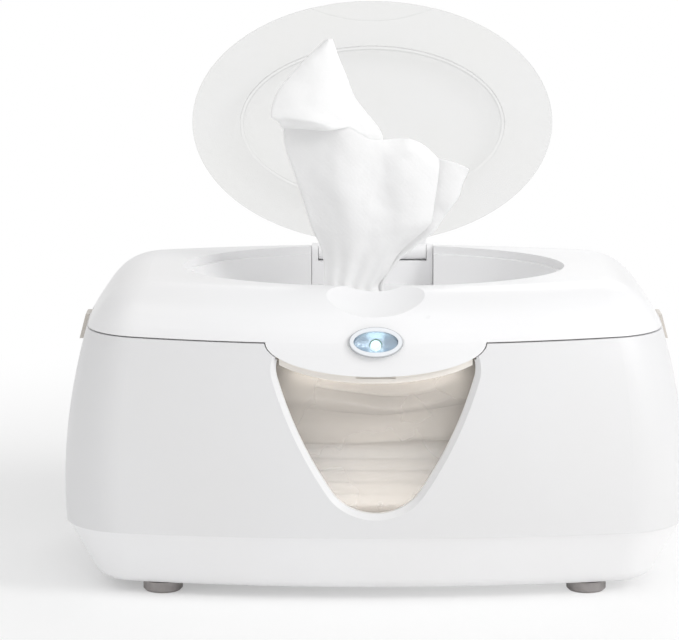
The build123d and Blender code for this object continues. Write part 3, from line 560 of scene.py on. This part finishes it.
# Upper edges and how far each layer bows back: (share of the way from the seam, level, place or depth)
FRONT_TOP = [
    (0, 209.6), (0.22, 209.0), (0.38, 206.2), (0.5, 200.8), (0.6, 200.3), (0.72, 200.9), (0.83, 198.9),
    (0.94, 193.2), (1, 190),
]
FRONT_TOP_X = [
    (0, -43.3), (0.22, -22.8), (0.38, -11.2), (0.5, -2.4), (0.6, 4.2), (0.72, 13.5), (0.83, 20.8),
    (0.94, 28.2), (1, 30.8),
]
BACK_TOP = [(0, 206), (0.3, 199), (0.6, 195.5), (0.78, 191.2), (0.9, 188.3), (1, 184.7)]
FRONT_BOW = [
    (0, 1.0), (0.1, -1.2), (0.2, -4.0), (0.31, -6.8), (0.42, -6.3), (0.6, -3), (0.75, -3.5), (0.88, -1),
    (1, 5),
]
BACK_BOW = [(0, 6), (0.12, 11.5), (0.3, 10), (0.5, 13), (0.68, 10), (0.84, 9.5), (1, 12)]
# Flap folded over the left of the front layer: its sides, then the pleat it starts with as (back, up)
FLAP_LEFT = [
    (203, -43.5), (206.6, -45.8), (209.4, -47.4), (214, -47.9), (220.5, -46), (223.3, -44.6), (229.5, -39.5),
    (233.1, -36.2), (236.8, -32.6), (240, -29.4), (243.6, -25.4), (246.9, -21.9),
]
FLAP_RIGHT = [
    (200.3, 4.2), (206.6, 1.8), (214, -4.3), (220.5, -9.1), (229.5, -12.6), (238.6, -16.5), (246.9, -19.4),
]
PLEAT = [(-1.4, 1.0), (-3.0, 0.6), (-4.0, -1.4), (-4.9, -3.2), (-6.1, -3.3), (-7.0, -1.6)]
FLAP_SHARE = 0.6
# mathutils seeds its noise from the clock unless it is given a seed
CRUMPLE_SEED = 7


def crumpled(x, y, z, amount, scale=0.055, shift=0.0):
    """Moves a point by a small smooth crumple."""
    place = Vector((x * scale + shift, y * scale, z * scale))
    push = noise.noise_vector(place) * amount + noise.noise_vector(place * 2.7) * amount * 0.35
    return x + push.x * 0.5, y + push.y, z + push.z * 0.4


class WARMER_OT_standing_wipe(bpy.types.Operator):
    """The wipe pulled up through the orifice: a wrapped cone with a flap folded over its top"""

    bl_idname = "warmer.standing_wipe"
    bl_label = "Standing wipe"

    columns = 40
    rows = 64
    flap_rows = 30
    foot = 87
    flap_foot, flap_tip = 203.5, 246.9

    def front(self, u, v):
        z = mix(self.foot, through(FRONT_TOP, u), v)
        x = mix(through(LEFT_EDGE, z), through(FRONT_EDGE, z), u)
        x = mix(x, through(FRONT_TOP_X, u), ease(v, 0.72, 1.0))
        y = self.depth(through(FRONT_BOW, u), u, z, 4.2)
        y += 1.6 * ease(v, 0.93, 1.0) * ease(u, 0.55, 0.66)
        return crumpled(x, y, z, 1.3 * ease(z, 125, 160))

    def back(self, u, v):
        z = mix(self.foot, through(BACK_TOP, u), v)
        x = mix(through(LEFT_EDGE, z), through(OUTER_EDGE, z), u)
        y = self.depth(through(BACK_BOW, u), u + 0.4, z, 6.3)
        return crumpled(x, y, z, 1.3 * ease(z, 125, 160))

    def depth(self, bow, u, z, folds):
        """How far a point lies back: open above, gathered in the slot, loose again in the tub."""
        open_above = 0.26 + 0.74 * ease(z, 126, 186)
        gather = 1.0 - ease(z, 116, 128)
        slack = ease(-z, -116, -100)
        wave = math.sin(2 * math.pi * folds * u + 0.7)
        return bow * open_above + wave * (0.5 + 1.2 * gather + 6.0 * slack) * (1.0 - ease(z, 128, 178)) - 1.5

    def flap(self, u, v):
        z = mix(self.flap_foot, self.flap_tip, v)
        x = mix(through(FLAP_LEFT, z), through(FLAP_RIGHT, z), u)
        y = -11.5 + 12 * v + 6 * (2 * u - 0.9) ** 2 * (1 - 0.6 * v)
        return crumpled(x, y, z, 1.2)

    def flap_point(self, step, u, rim, left):
        """A point over a point of the front layer's rim: first in the pleat, then in the flap above it."""
        fold = ease(1 - u, 0.36, 0.62)
        x, y, z = rim
        if step < len(PLEAT):
            back, up = PLEAT[step]
            share = (step + 1) / len(PLEAT)
            slide = (through(FLAP_LEFT, 205) - left) * share * (1 - u) * 0.4
            return x + slide, y + back * fold, z + up * fold
        v = (step - len(PLEAT) + 1) / self.flap_rows
        join = ease(v, 0.0, 0.3)
        base_y, base_z = y + PLEAT[-1][0] * fold, z + PLEAT[-1][1] * fold
        _, flap_y, flap_z = self.flap(u, v)
        z = mix(mix(base_z, self.flap_tip, v), flap_z, join)
        flap_x = mix(through(FLAP_LEFT, z), through(FLAP_RIGHT, z), u)
        return mix(x, flap_x, ease(v, 0.0, 0.12)), mix(base_y, flap_y, join), z

    def execute(self, context):
        sizes = context.scene.warmer_sizes
        noise.seed_set(CRUMPLE_SEED)
        points = []
        wide = 2 * self.columns + 1
        for r in range(self.rows + 1):
            v = r / self.rows
            for c in range(wide):
                side = c / self.columns
                points.append(self.front(1 - side, v) if side <= 1 else self.back(side - 1, v))
        faces = grid_faces(wide, self.rows + 1)
        # The flap grows out of the front layer's last row, over the part left of FLAP_SHARE
        first = round(self.columns * (1 - FLAP_SHARE))
        count = self.columns - first + 1
        below = [self.rows * wide + first + i for i in range(count)]
        rims = [points[i] for i in below]
        for step in range(len(PLEAT) + self.flap_rows):
            row = [len(points) + i for i in range(count)]
            for i, rim in enumerate(rims):
                points.append(self.flap_point(step, 1 - i / (count - 1), rim, rims[-1][0]))
            faces += [(below[i], below[i + 1], row[i + 1], row[i]) for i in range(count - 1)]
            below = row
        piece = new_piece("standing_wipe", points, faces, FINISH["cloth"])
        as_cloth(piece, sizes.wipe_thickness)
        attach(piece, "lid")
        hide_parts("dispensed_wipe")
        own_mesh(piece)
        return {"FINISHED"}


# ---- Next wipe, in millimetres ----
# Share of the way along it, then half width, depth, level and rise towards its sides
PACK_TOP = 66.0
SWAG_HALF = [(0, 17), (0.12, 30), (0.24, 44), (0.36, 50), (0.5, 54), (0.62, 58), (1, 60)]
SWAG_Y = [
    (0, -5), (0.1, -22), (0.2, -40), (0.26, -45), (0.33, -33), (0.4, -38), (0.45, -49), (0.5, -42),
    (0.55, -40), (0.6, -47), (0.64, -53), (0.68, -54.5), (0.72, -54), (0.75, -50), (0.8, -38), (1, 30),
]
SWAG_Z = [
    (0, 103), (0.1, 96), (0.2, 90.5), (0.26, 87), (0.33, 84.5), (0.4, 85.5), (0.45, 84), (0.5, 79.5),
    (0.55, 78.5), (0.6, 79), (0.64, 77.5), (0.68, 73), (0.72, 68), (0.75, 66.6), (0.8, 66.4), (1, 66.4),
]
SWAG_SAG = [(0, 0), (0.12, 6), (0.24, 15), (0.33, 11), (0.45, 6), (0.55, 3), (0.64, 1), (0.72, 0), (1, 0)]


class WARMER_OT_loose_wipe(bpy.types.Operator):
    """The next wipe, hanging in swags from the orifice down to the pack"""

    bl_idname = "warmer.loose_wipe"
    bl_label = "Loose wipe"

    columns = 84
    rows = 110

    def execute(self, context):
        sizes = context.scene.warmer_sizes
        noise.seed_set(CRUMPLE_SEED)
        points = []
        for r in range(self.rows + 1):
            v = r / self.rows
            half, deep, level, sag = (through(line, v) for line in (SWAG_HALF, SWAG_Y, SWAG_Z, SWAG_SAG))
            for c in range(self.columns + 1):
                u = 2 * c / self.columns - 1
                ripple = 1.3 * math.sin(4.1 * u + 9 * v) * ease(v, 0.1, 0.3) * (1 - ease(v, 0.72, 0.8))
                y = deep + 3.0 * u * u + 1.6 * math.sin(5.3 * u + 6 * v)
                z = max(level + sag * u * u + ripple, PACK_TOP + 0.3)
                points.append(crumpled(half * u, y, z, 1.3, 0.06, 4.0))
        piece = new_piece("next_wipe", points, grid_faces(self.columns + 1, self.rows + 1), FINISH["inner"])
        as_cloth(piece, sizes.wipe_thickness)
        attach(piece, "base")
        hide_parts("loose_wipe")
        return {"FINISHED"}


class WARMER_OT_wipe_pack(bpy.types.Operator):
    """The folded wipes lying on the tub's floor"""

    bl_idname = "warmer.wipe_pack"
    bl_label = "Wipe pack"

    around = 96
    rings = 9
    squareness = 0.22

    def layer(self, sizes):
        """Points and faces of one folded wipe with round edges and a slightly wavy face."""
        half_w, half_d = sizes.pack_width * 500 - 1.2, sizes.pack_depth * 500 - 1.0
        points = []
        for ring in range(self.rings):
            angle = math.pi * ring / (self.rings - 1)
            out = 1.7 * math.sin(angle) - 1.0
            up = sizes.pack_layer * 1000 * (0.02 + 0.96 * (0.5 - 0.5 * math.cos(angle)))
            for k in range(self.around):
                turn = 2 * math.pi * k / self.around
                c, s = math.cos(turn), math.sin(turn)
                x = math.copysign(abs(c) ** self.squareness, c) * (half_w + out)
                y = math.copysign(abs(s) ** self.squareness, s) * (half_d + out)
                wave = 0.28 * math.sin(0.11 * x) * math.sin(0.07 * y + 1)
                points.append((x, y, up + wave * math.sin(angle)))
        return points, ring_faces(self.rings, self.around)

    def execute(self, context):
        sizes = context.scene.warmer_sizes
        layer = new_piece("folded_layer", *self.layer(sizes), FINISH["pack"])
        rule = Rule(
            "Wipe pack",
            Layers=("Int", sizes.pack_layers),
            Step=("Vector", (0, 0, sizes.pack_layer)),
            Slip=("Float", 0.0008),
            Layer=("Object", layer),
            Finish=("Material", FINISH["pack"]),
        )
        start = (0, 0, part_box("wipe_stack")[0].z)
        values = {"Count": rule.given("Layers"), "Start Location": start, "Offset": rule.given("Step")}
        line = rule.node("GeometryNodeMeshLine", values=values)
        reach = {0: (-1, -1, 0), 1: (1, 1, 0), "Seed": 11}
        way = rule.node("FunctionNodeRandomValue", {"data_type": "FLOAT_VECTOR"}, reach).outputs[0]
        scaled = {0: way, "Scale": rule.given("Slip")}
        slip = rule.node("ShaderNodeVectorMath", {"operation": "SCALE"}, scaled).outputs[0]
        moved = rule.node("GeometryNodeSetPosition", values={"Geometry": line.outputs[0], "Offset": slip})
        piece = rule.piece("wipe_pack", rule.placed("Layer", moved.outputs[0]))
        bpy.data.objects.remove(layer)
        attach(piece, "base")
        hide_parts("wipe_stack")
        return {"FINISHED"}


class WARMER_OT_springs(bpy.types.Operator):
    """Wound springs behind the release tabs and under the button"""

    bl_idname = "warmer.springs"
    bl_label = "Springs"

    steps_a_turn, wire_sides = 20, 8
    # The button's spring, in metres: place across its plane and below it, radius and length
    button_x, button_depth = -0.0066, -0.009
    button_radius, button_length = 0.0017, 0.0038

    def coils(self, name, turn, first, last, radius, height):
        """Springs of one size on the ends of a line, wound along the turned Z axis."""
        sizes = bpy.context.scene.warmer_sizes
        turns, wire = ("Float", float(sizes.spring_turns)), ("Float", sizes.spring_wire)
        rule = Rule(name, Turns=turns, Wire=wire, Finish=("Material", FINISH["steel"]))
        values = {"Resolution": self.steps_a_turn, "Rotations": rule.given("Turns"), "Height": height}
        values |= {"Start Radius": radius, "End Radius": radius}
        coil = rule.node("GeometryNodeCurveSpiral", values=values).outputs[0]
        values = {"Resolution": self.wire_sides, "Radius": rule.given("Wire")}
        wire = rule.node("GeometryNodeCurvePrimitiveCircle", values=values).outputs[0]
        values = {"Curve": coil, "Profile Curve": wire, "Fill Caps": True}
        swept = rule.node("GeometryNodeCurveToMesh", values=values)
        turned = rule.node("GeometryNodeTransform", values={"Geometry": swept.outputs[0], "Rotation": turn})
        values = {"Count": 2 if first != last else 1, "Start Location": first, "Offset": last}
        line = rule.node("GeometryNodeMeshLine", {"mode": "END_POINTS"}, values)
        return rule.piece(name, rule.placed(turned.outputs[0], line.outputs[0]))

    def execute(self, context):
        wire = context.scene.warmer_sizes.spring_wire
        for side, word in ((-1, "left"), (1, "right")):
            low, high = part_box(f"release_springs_{word}")
            near = (low.x if side > 0 else high.x) + side * wire
            radius = (high.z - low.z) / 2 - 1.2 * wire
            level = (low.z + high.z) / 2
            first = (near, low.y + radius + 1.2 * wire, level)
            last = (near, high.y - radius - 1.2 * wire, level)
            length = high.x - low.x - 2 * wire
            turn = (0, side * math.pi / 2, 0)
            coils = self.coils(f"wound_springs_{word}", turn, first, last, radius, length)
            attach(coils, "base")
            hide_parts(f"release_springs_{word}")
            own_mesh(coils)
        seat = BUTTON_FACE @ Vector((self.button_x, 0, self.button_depth + wire))
        radius, length = self.button_radius - 1.3 * wire, self.button_length - 2 * wire
        turn, place = tuple(BUTTON_FACE.to_euler()), tuple(seat)
        coil = self.coils("wound_button_spring", turn, place, place, radius, length)
        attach(coil, "lid")
        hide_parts("button_spring")
        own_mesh(coil)
        return {"FINISHED"}


class WARMER_OT_screws(bpy.types.Operator):
    """Threaded screws with cross recesses, one per boss"""

    bl_idname = "warmer.screws"
    bl_label = "Screws"

    # Shapes are head radius, head height, thread radius and thread length in millimetres
    corner_screws = (
        ("cross_base_screws", "base_screws", "base", (2.9, 2.2, 1.5, 12)),
        ("cross_lid_screws", "lid_screws", "lid", (2.8, 1.8, 1.4, 12)),
    )
    board_shape = (2.1, 1.4, 1.1, 6)
    # The board's two screws, in metres: their middle in the button's plane, and how far apart they stand
    board_place = (0, 0.006, -0.0106)
    board_span = 0.038

    def pattern(self, head, tall, shank, length, pitch):
        """One screw with its head below Z = 0 and its thread rising above, in millimetres."""

        def cross(share):
            def radius(turn):
                c, s = abs(math.cos(turn)) + 1e-6, abs(math.sin(turn)) + 1e-6
                arm = 0.62 * head
                slot = arm * math.tan(math.radians(15))
                return share * max(min(arm / c, slot / s), min(slot / c, arm / s))

            return radius

        rings = [(cross(0.7), 0.55 * tall - tall), (cross(1.0), -tall)]
        shoulder = ((head - 0.3, -tall), (head, 0.3 - tall), (head, 0.0), (shank * 0.82, 0.0))
        rings += [(lambda turn, r=r: r, z) for r, z in shoulder]
        steps = round(length / pitch * 8)
        for i in range(1, steps + 1):
            level = length * i / steps
            tip = 1.0 - 0.55 * ease(level, length - 1.6, length)

            def ridge(turn, level=level, tip=tip):
                phase = (level / pitch - turn / (2 * math.pi)) % 1.0
                return shank * tip * (0.82 + 0.18 * (1 - abs(2 * phase - 1)))

            rings.append((ridge, level))
        return lathe(rings)

    def screws(self, name, replaced, body, shape, across, along, place, turn=(0, 0, 0)):
        """Screws of one shape on the corners of a grid, or on a row when the grid has no depth."""
        steel = FINISH["steel"]
        pitch = bpy.context.scene.warmer_sizes.thread_pitch * 1000
        pattern = new_piece(name + "_pattern", *self.pattern(*shape, pitch), steel)
        spans = {"Across": ("Float", across), "Along": ("Float", along)}
        rule = Rule(name, **spans, Screw=("Object", pattern), Finish=("Material", steel))
        values = {"Size X": rule.given("Across"), "Size Y": rule.given("Along")}
        values |= {"Vertices X": 2, "Vertices Y": 2 if along else 1}
        grid = rule.node("GeometryNodeMeshGrid", values=values).outputs[0]
        values = {"Geometry": rule.placed("Screw", grid), "Translation": place, "Rotation": turn}
        made = rule.piece(name, rule.node("GeometryNodeTransform", values=values).outputs[0])
        for polygon in made.data.polygons:
            polygon.use_smooth = False
        bpy.data.objects.remove(pattern)
        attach(made, body)
        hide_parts(replaced)

    def execute(self, context):
        for name, replaced, body, (head, tall, shank, length) in self.corner_screws:
            low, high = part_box(replaced)
            rim = 2 * head / 1000
            across, along = high.x - low.x - rim, high.y - low.y - rim
            place = (0, 0, low.z + tall / 1000)
            self.screws(name, replaced, body, (head, tall, shank, length), across, along, place)
        place, turn = tuple(BUTTON_FACE @ Vector(self.board_place)), tuple(BUTTON_FACE.to_euler())
        shape, span = self.board_shape, self.board_span
        self.screws("cross_board_screws", "pcb_screws", "lid", shape, span, 0.0, place, turn)
        return {"FINISHED"}


class WARMER_OT_casing(bpy.types.Operator):
    """Casing, tray, window, feet and release tabs"""

    bl_idname = "warmer.casing"
    bl_label = "Casing and tray"

    def execute(self, context):
        colours = context.scene.warmer_colours
        dressed(moulded("Casing plastic", colours.casing, 0.38), "outer_casing")
        dressed(moulded("Tray plastic", colours.tray, 0.42), "base_tray")
        dressed(see_through("Window plastic", shade(236, 233, 230), 0.1, 0.35), "view_window")
        feet = [n for n in NODES if n.startswith("foot_")]
        dressed(rubber("Grey rubber", colours.rubber), *feet)
        # Painted shade: the tabs' white plastic in the grey of its shaded side
        tabs = moulded("Tab plastic in painted shade", colours.tab, 0.5, 0.00005, 1100.0)
        dressed(tabs, "release_button_left", "release_button_right")
        return {"FINISHED"}


class WARMER_OT_lid(bpy.types.Operator):
    """Main lid with its liner, seal and gasket"""

    bl_idname = "warmer.lid"
    bl_label = "Main lid"

    def execute(self, context):
        colours = context.scene.warmer_colours
        dressed(moulded("Lid plastic", colours.lid, 0.3, 0.000012), "lid_shell")
        # Painted light: the lid's white made lighter on the hinge bracket and arm, which stand in shade in
        # the well
        hinge = moulded("Hinge plastic with painted light", toned(colours.lid, (1.05, 1.05, 1.05)), 0.34)
        dressed(hinge, "flip_hinge_bracket", "flip_hinge_arm")
        dressed(moulded("Liner plastic", colours.liner, 0.5, 0.00004), "lid_liner")
        silicone = rubber("Seal silicone", shade(226, 226, 226))
        dressed(silicone, "lid_gasket", "orifice_seal")
        clear = see_through("Flip lid plastic", colours.clear, 0.22, 0.75, 0.2, 0.05)
        dressed(clear, "flip_lid_panel")
        return {"FINISHED"}


class WARMER_OT_tub(bpy.types.Operator):
    """See-through tub that holds the wipes"""

    bl_idname = "warmer.tub"
    bl_label = "Tub"

    def execute(self, context):
        colours = context.scene.warmer_colours
        dressed(see_through("Tub plastic", colours.tub, 0.24, 0.65, 0.4, 0.08), "inner_tub")
        FINISH["cloth"] = nonwoven("Wipe cloth", colours.wipe, 0.06)
        # Painted shade: the wipe's white made darker and warmer for the wipe inside the tub
        FINISH["inner"] = nonwoven("Wipe cloth in the tub", toned(colours.wipe, (0.99, 0.95, 0.90)), 0.1)
        # Painted light: the wipe's white toned cool for the pack on the tub's floor, in place of a cooler
        # lamp there
        FINISH["pack"] = nonwoven("Wipe cloth of the pack", toned(colours.wipe, (0.93, 0.965, 1.0)), 0.0)
        return {"FINISHED"}


class WARMER_OT_button(bpy.types.Operator):
    """Oval button with its ring, dish and lamp"""

    bl_idname = "warmer.button"
    bl_label = "Lit button"

    def execute(self, context):
        colours = context.scene.warmer_colours
        dressed(button_ring("Ring plastic", shade(236, 239, 243)), "button_bezel")
        dressed(lit_dish("Reflector metal", colours.reflector, colours.glow, 0.6), "button_reflector")
        dressed(see_through("Lens plastic", shade(205, 218, 230), 0.12, 0.6), "button_lens")
        dressed(lamp_glow("Lamp", colours.glow, 1.2), "button_led")
        return {"FINISHED"}


class WARMER_OT_inside(bpy.types.Operator):
    """Heater, control board, leads, jack and the small metal parts"""

    bl_idname = "warmer.inside"
    bl_label = "Inside parts"

    def execute(self, context):
        steel = metal("Ground steel", shade(196, 197, 200), 0.3, (1.0, 0.1, 1.0))
        FINISH["steel"] = steel
        dressed(steel, "main_hinge_pins", "flip_hinge_pin", "base_screws", "lid_screws", "pcb_screws")
        dressed(steel, "release_springs_left", "release_springs_right", "button_spring")
        dressed(metal("Nickel", shade(208, 205, 196), 0.24), "jack_nut", "thermal_fuse")
        dressed(metal("Rolled aluminium", shade(214, 215, 217), 0.34, (0.05, 1.0, 1.0)), "heater_plate")
        dressed(film("Heating film", shade(222, 160, 74)), "heater_film")
        dressed(felted("Felt", shade(230, 228, 222)), "insulation_pad")
        dressed(circuit("Coated board", shade(38, 118, 74)), "control_pcb")
        black = moulded("Black plastic", shade(38, 38, 40), 0.45, 0.00004)
        dressed(black, "dc_jack", "thermostat", "tact_switch")
        dressed(moulded("Lead sleeve", shade(236, 236, 236), 0.5, 0.00003, 2400.0), "base_lead", "lid_lead")
        return {"FINISHED"}


class WARMER_OT_stage(bpy.types.Operator):
    """Pale floor, soft lamps and the camera"""

    bl_idname = "warmer.stage"
    bl_label = "Stage"

    aim = Vector((-0.0161, 0.0, 0.1144))
    distance = 1.4
    elevation = math.radians(10.2)
    lens = 157.26
    half_floor = 9.0
    sky_tone = (0.8, 0.8, 0.8, 1.0)
    ambient = 0.68

    # Round lamps aimed at the warmer's middle: place, width and power
    middle = (0.0, 0.0, 0.1)
    lamps = {
        "Key lamp": ((1.65, -0.95, 1.25), 0.9, 17.0),
        "Front lamp": ((0.9, -1.8, 0.24), 0.6, 1.0),
        "Top lamp": ((0.1, -1.0, 1.5), 1.2, 4.0),
        "Left lamp": ((-1.0, -0.45, 1.5), 1.0, 2.8),
        "Back lamp": ((0.3, 1.5, 1.1), 1.0, 4.6),
    }
    # Strips in the tub, for the daylight that its white walls let through: place, power and target
    fill_size, fill_height = 0.08, 0.004
    fills = {
        "Low fill": ((0.0, -0.083, 0.040), 0.0095, (0.0, -0.066, 0.1)),
        "High fill": ((0.0, -0.0805, 0.1035), 0.0052, (0.0, -0.05, 0.07)),
    }

    def execute(self, context):
        scene = context.scene
        scene.view_settings.view_transform = "Standard"
        self.floor()
        self.sky(scene)
        for name, (place, size, power) in self.lamps.items():
            self.lamp(name, place, size, power, self.middle)
        for name, (place, power, target) in self.fills.items():
            self.lamp(name, place, self.fill_size, power, target, self.fill_height)
        camera_data = bpy.data.cameras.new("Camera")
        camera_data.lens, camera_data.sensor_width = self.lens, 36.0
        camera_data.clip_start, camera_data.clip_end = 0.05, 60.0
        camera = bpy.data.objects.new("Camera", camera_data)
        back = Vector((0, -math.cos(self.elevation), math.sin(self.elevation)))
        camera.location = self.aim + back * self.distance
        camera.rotation_euler = (math.pi / 2 - self.elevation, 0, 0)
        scene.collection.objects.link(camera)
        scene.camera = camera
        return {"FINISHED"}

    def floor(self):
        """Paper that takes shadows near the warmer and fades to plain white away from it, with more painted
        white on its right and front than on its left.
        """
        half = self.half_floor
        corner_points = [(-half, -half, 0), (half, -half, 0), (half, half, 0), (-half, half, 0)]
        mesh = bpy.data.meshes.new("Floor")
        mesh.from_pydata(corner_points, [], [(0, 1, 2, 3)])
        paint = Paint("Floor paper")
        path = paint.node("ShaderNodeLightPath").outputs
        seen = Signal(paint, path["Is Camera Ray"]) + Signal(paint, path["Is Glossy Ray"])
        seen = (seen + Signal(paint, path["Is Transmission Ray"])).between(0.0, 1.0)
        x, y = paint.axis("X"), paint.axis("Y")
        far = ((x * x + y * y) ** 0.5).between(0.2, 0.55)
        paper = paint.noise(400.0, 3.0)
        tone = paint.blend(paper, shade(250, 250, 250), shade(252, 252, 252))
        cloth = paint.surface({"Base Color": tone, "Roughness": 0.9, "Specular IOR Level": 0.1})
        white = paint.node("ShaderNodeEmission", values={"Color": (1, 1, 1, 1), "Strength": 1.0}).outputs[0]
        # Painted light: near the warmer more plain white is mixed in on the right and front than on the
        # left, so the shadow shows darker on the left
        bright_side = (x * 0.8 - y * 0.5).between(-0.22, 0.12)
        near = 0.14 + 0.44 * bright_side
        share = seen * (near + (1.0 - near) * far)
        mesh.materials.append(paint.end_mixed(share, cloth, white))
        floor = bpy.data.objects.new("Floor", mesh)
        bpy.context.scene.collection.objects.link(floor)

    def sky(self, scene):
        """Pale grey where it is seen, and a little dimmer as light."""
        world = bpy.data.worlds.new("Studio")
        world.use_nodes = True
        tree = world.node_tree
        tree.nodes.clear()
        path = add_node(tree, "ShaderNodeLightPath").outputs
        seen = path["Is Camera Ray"]
        for ray in ("Is Glossy Ray", "Is Transmission Ray"):
            values = {0: seen, 1: path[ray]}
            seen = add_node(tree, "ShaderNodeMath", {"operation": "MAXIMUM"}, values).outputs[0]
        level = add_node(tree, "ShaderNodeMix", {"data_type": "FLOAT"}, {0: seen, 2: self.ambient, 3: 1.0})
        values = {"Color": self.sky_tone, "Strength": level.outputs[0]}
        background = add_node(tree, "ShaderNodeBackground", values=values)
        add_node(tree, "ShaderNodeOutputWorld", values={0: background.outputs[0]})
        scene.world = world

    def lamp(self, name, place, size, power, target, height=None):
        """An area lamp aimed at its target: a disk, or a strip when it has a height."""
        data = bpy.data.lights.new(name, "AREA")
        data.shape, data.size, data.energy = "DISK", size, power
        if height:
            data.shape, data.size_y = "RECTANGLE", height
        lamp = bpy.data.objects.new(name, data)
        lamp.location = place
        lamp.rotation_euler = (Vector(target) - Vector(place)).to_track_quat("-Z", "Y").to_euler()
        bpy.context.scene.collection.objects.link(lamp)


class WARMER_PT_panel(bpy.types.Panel):
    """Lists the pieces of the warmer"""

    bl_idname = "WARMER_PT_panel"
    bl_label = "Wipe warmer"
    bl_space_type = "VIEW_3D"
    bl_region_type = "UI"
    bl_category = "Warmer"

    def draw(self, context):
        for group in (context.scene.warmer_colours, context.scene.warmer_sizes):
            box = self.layout.box()
            for name in group.__annotations__:
                box.prop(group, name)
        for step in STEPS:
            self.layout.operator(step.bl_idname)


STEPS = (
    WARMER_OT_stage,
    WARMER_OT_casing,
    WARMER_OT_lid,
    WARMER_OT_tub,
    WARMER_OT_button,
    WARMER_OT_inside,
    WARMER_OT_standing_wipe,
    WARMER_OT_loose_wipe,
    WARMER_OT_wipe_pack,
    WARMER_OT_springs,
    WARMER_OT_screws,
)
CLASSES = (WarmerColours, WarmerSizes, *STEPS, WARMER_PT_panel)


def register():
    for cls in CLASSES:
        bpy.utils.register_class(cls)
    bpy.types.Scene.warmer_colours = PointerProperty(type=WarmerColours)
    bpy.types.Scene.warmer_sizes = PointerProperty(type=WarmerSizes)


def unregister():
    del bpy.types.Scene.warmer_sizes
    del bpy.types.Scene.warmer_colours
    for cls in reversed(CLASSES):
        bpy.utils.unregister_class(cls)


def main():
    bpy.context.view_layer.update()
    register()
    for step in STEPS:
        group, name = step.bl_idname.split(".")
        getattr(getattr(bpy.ops, group), name)()


if __name__ == "__main__":
    main()
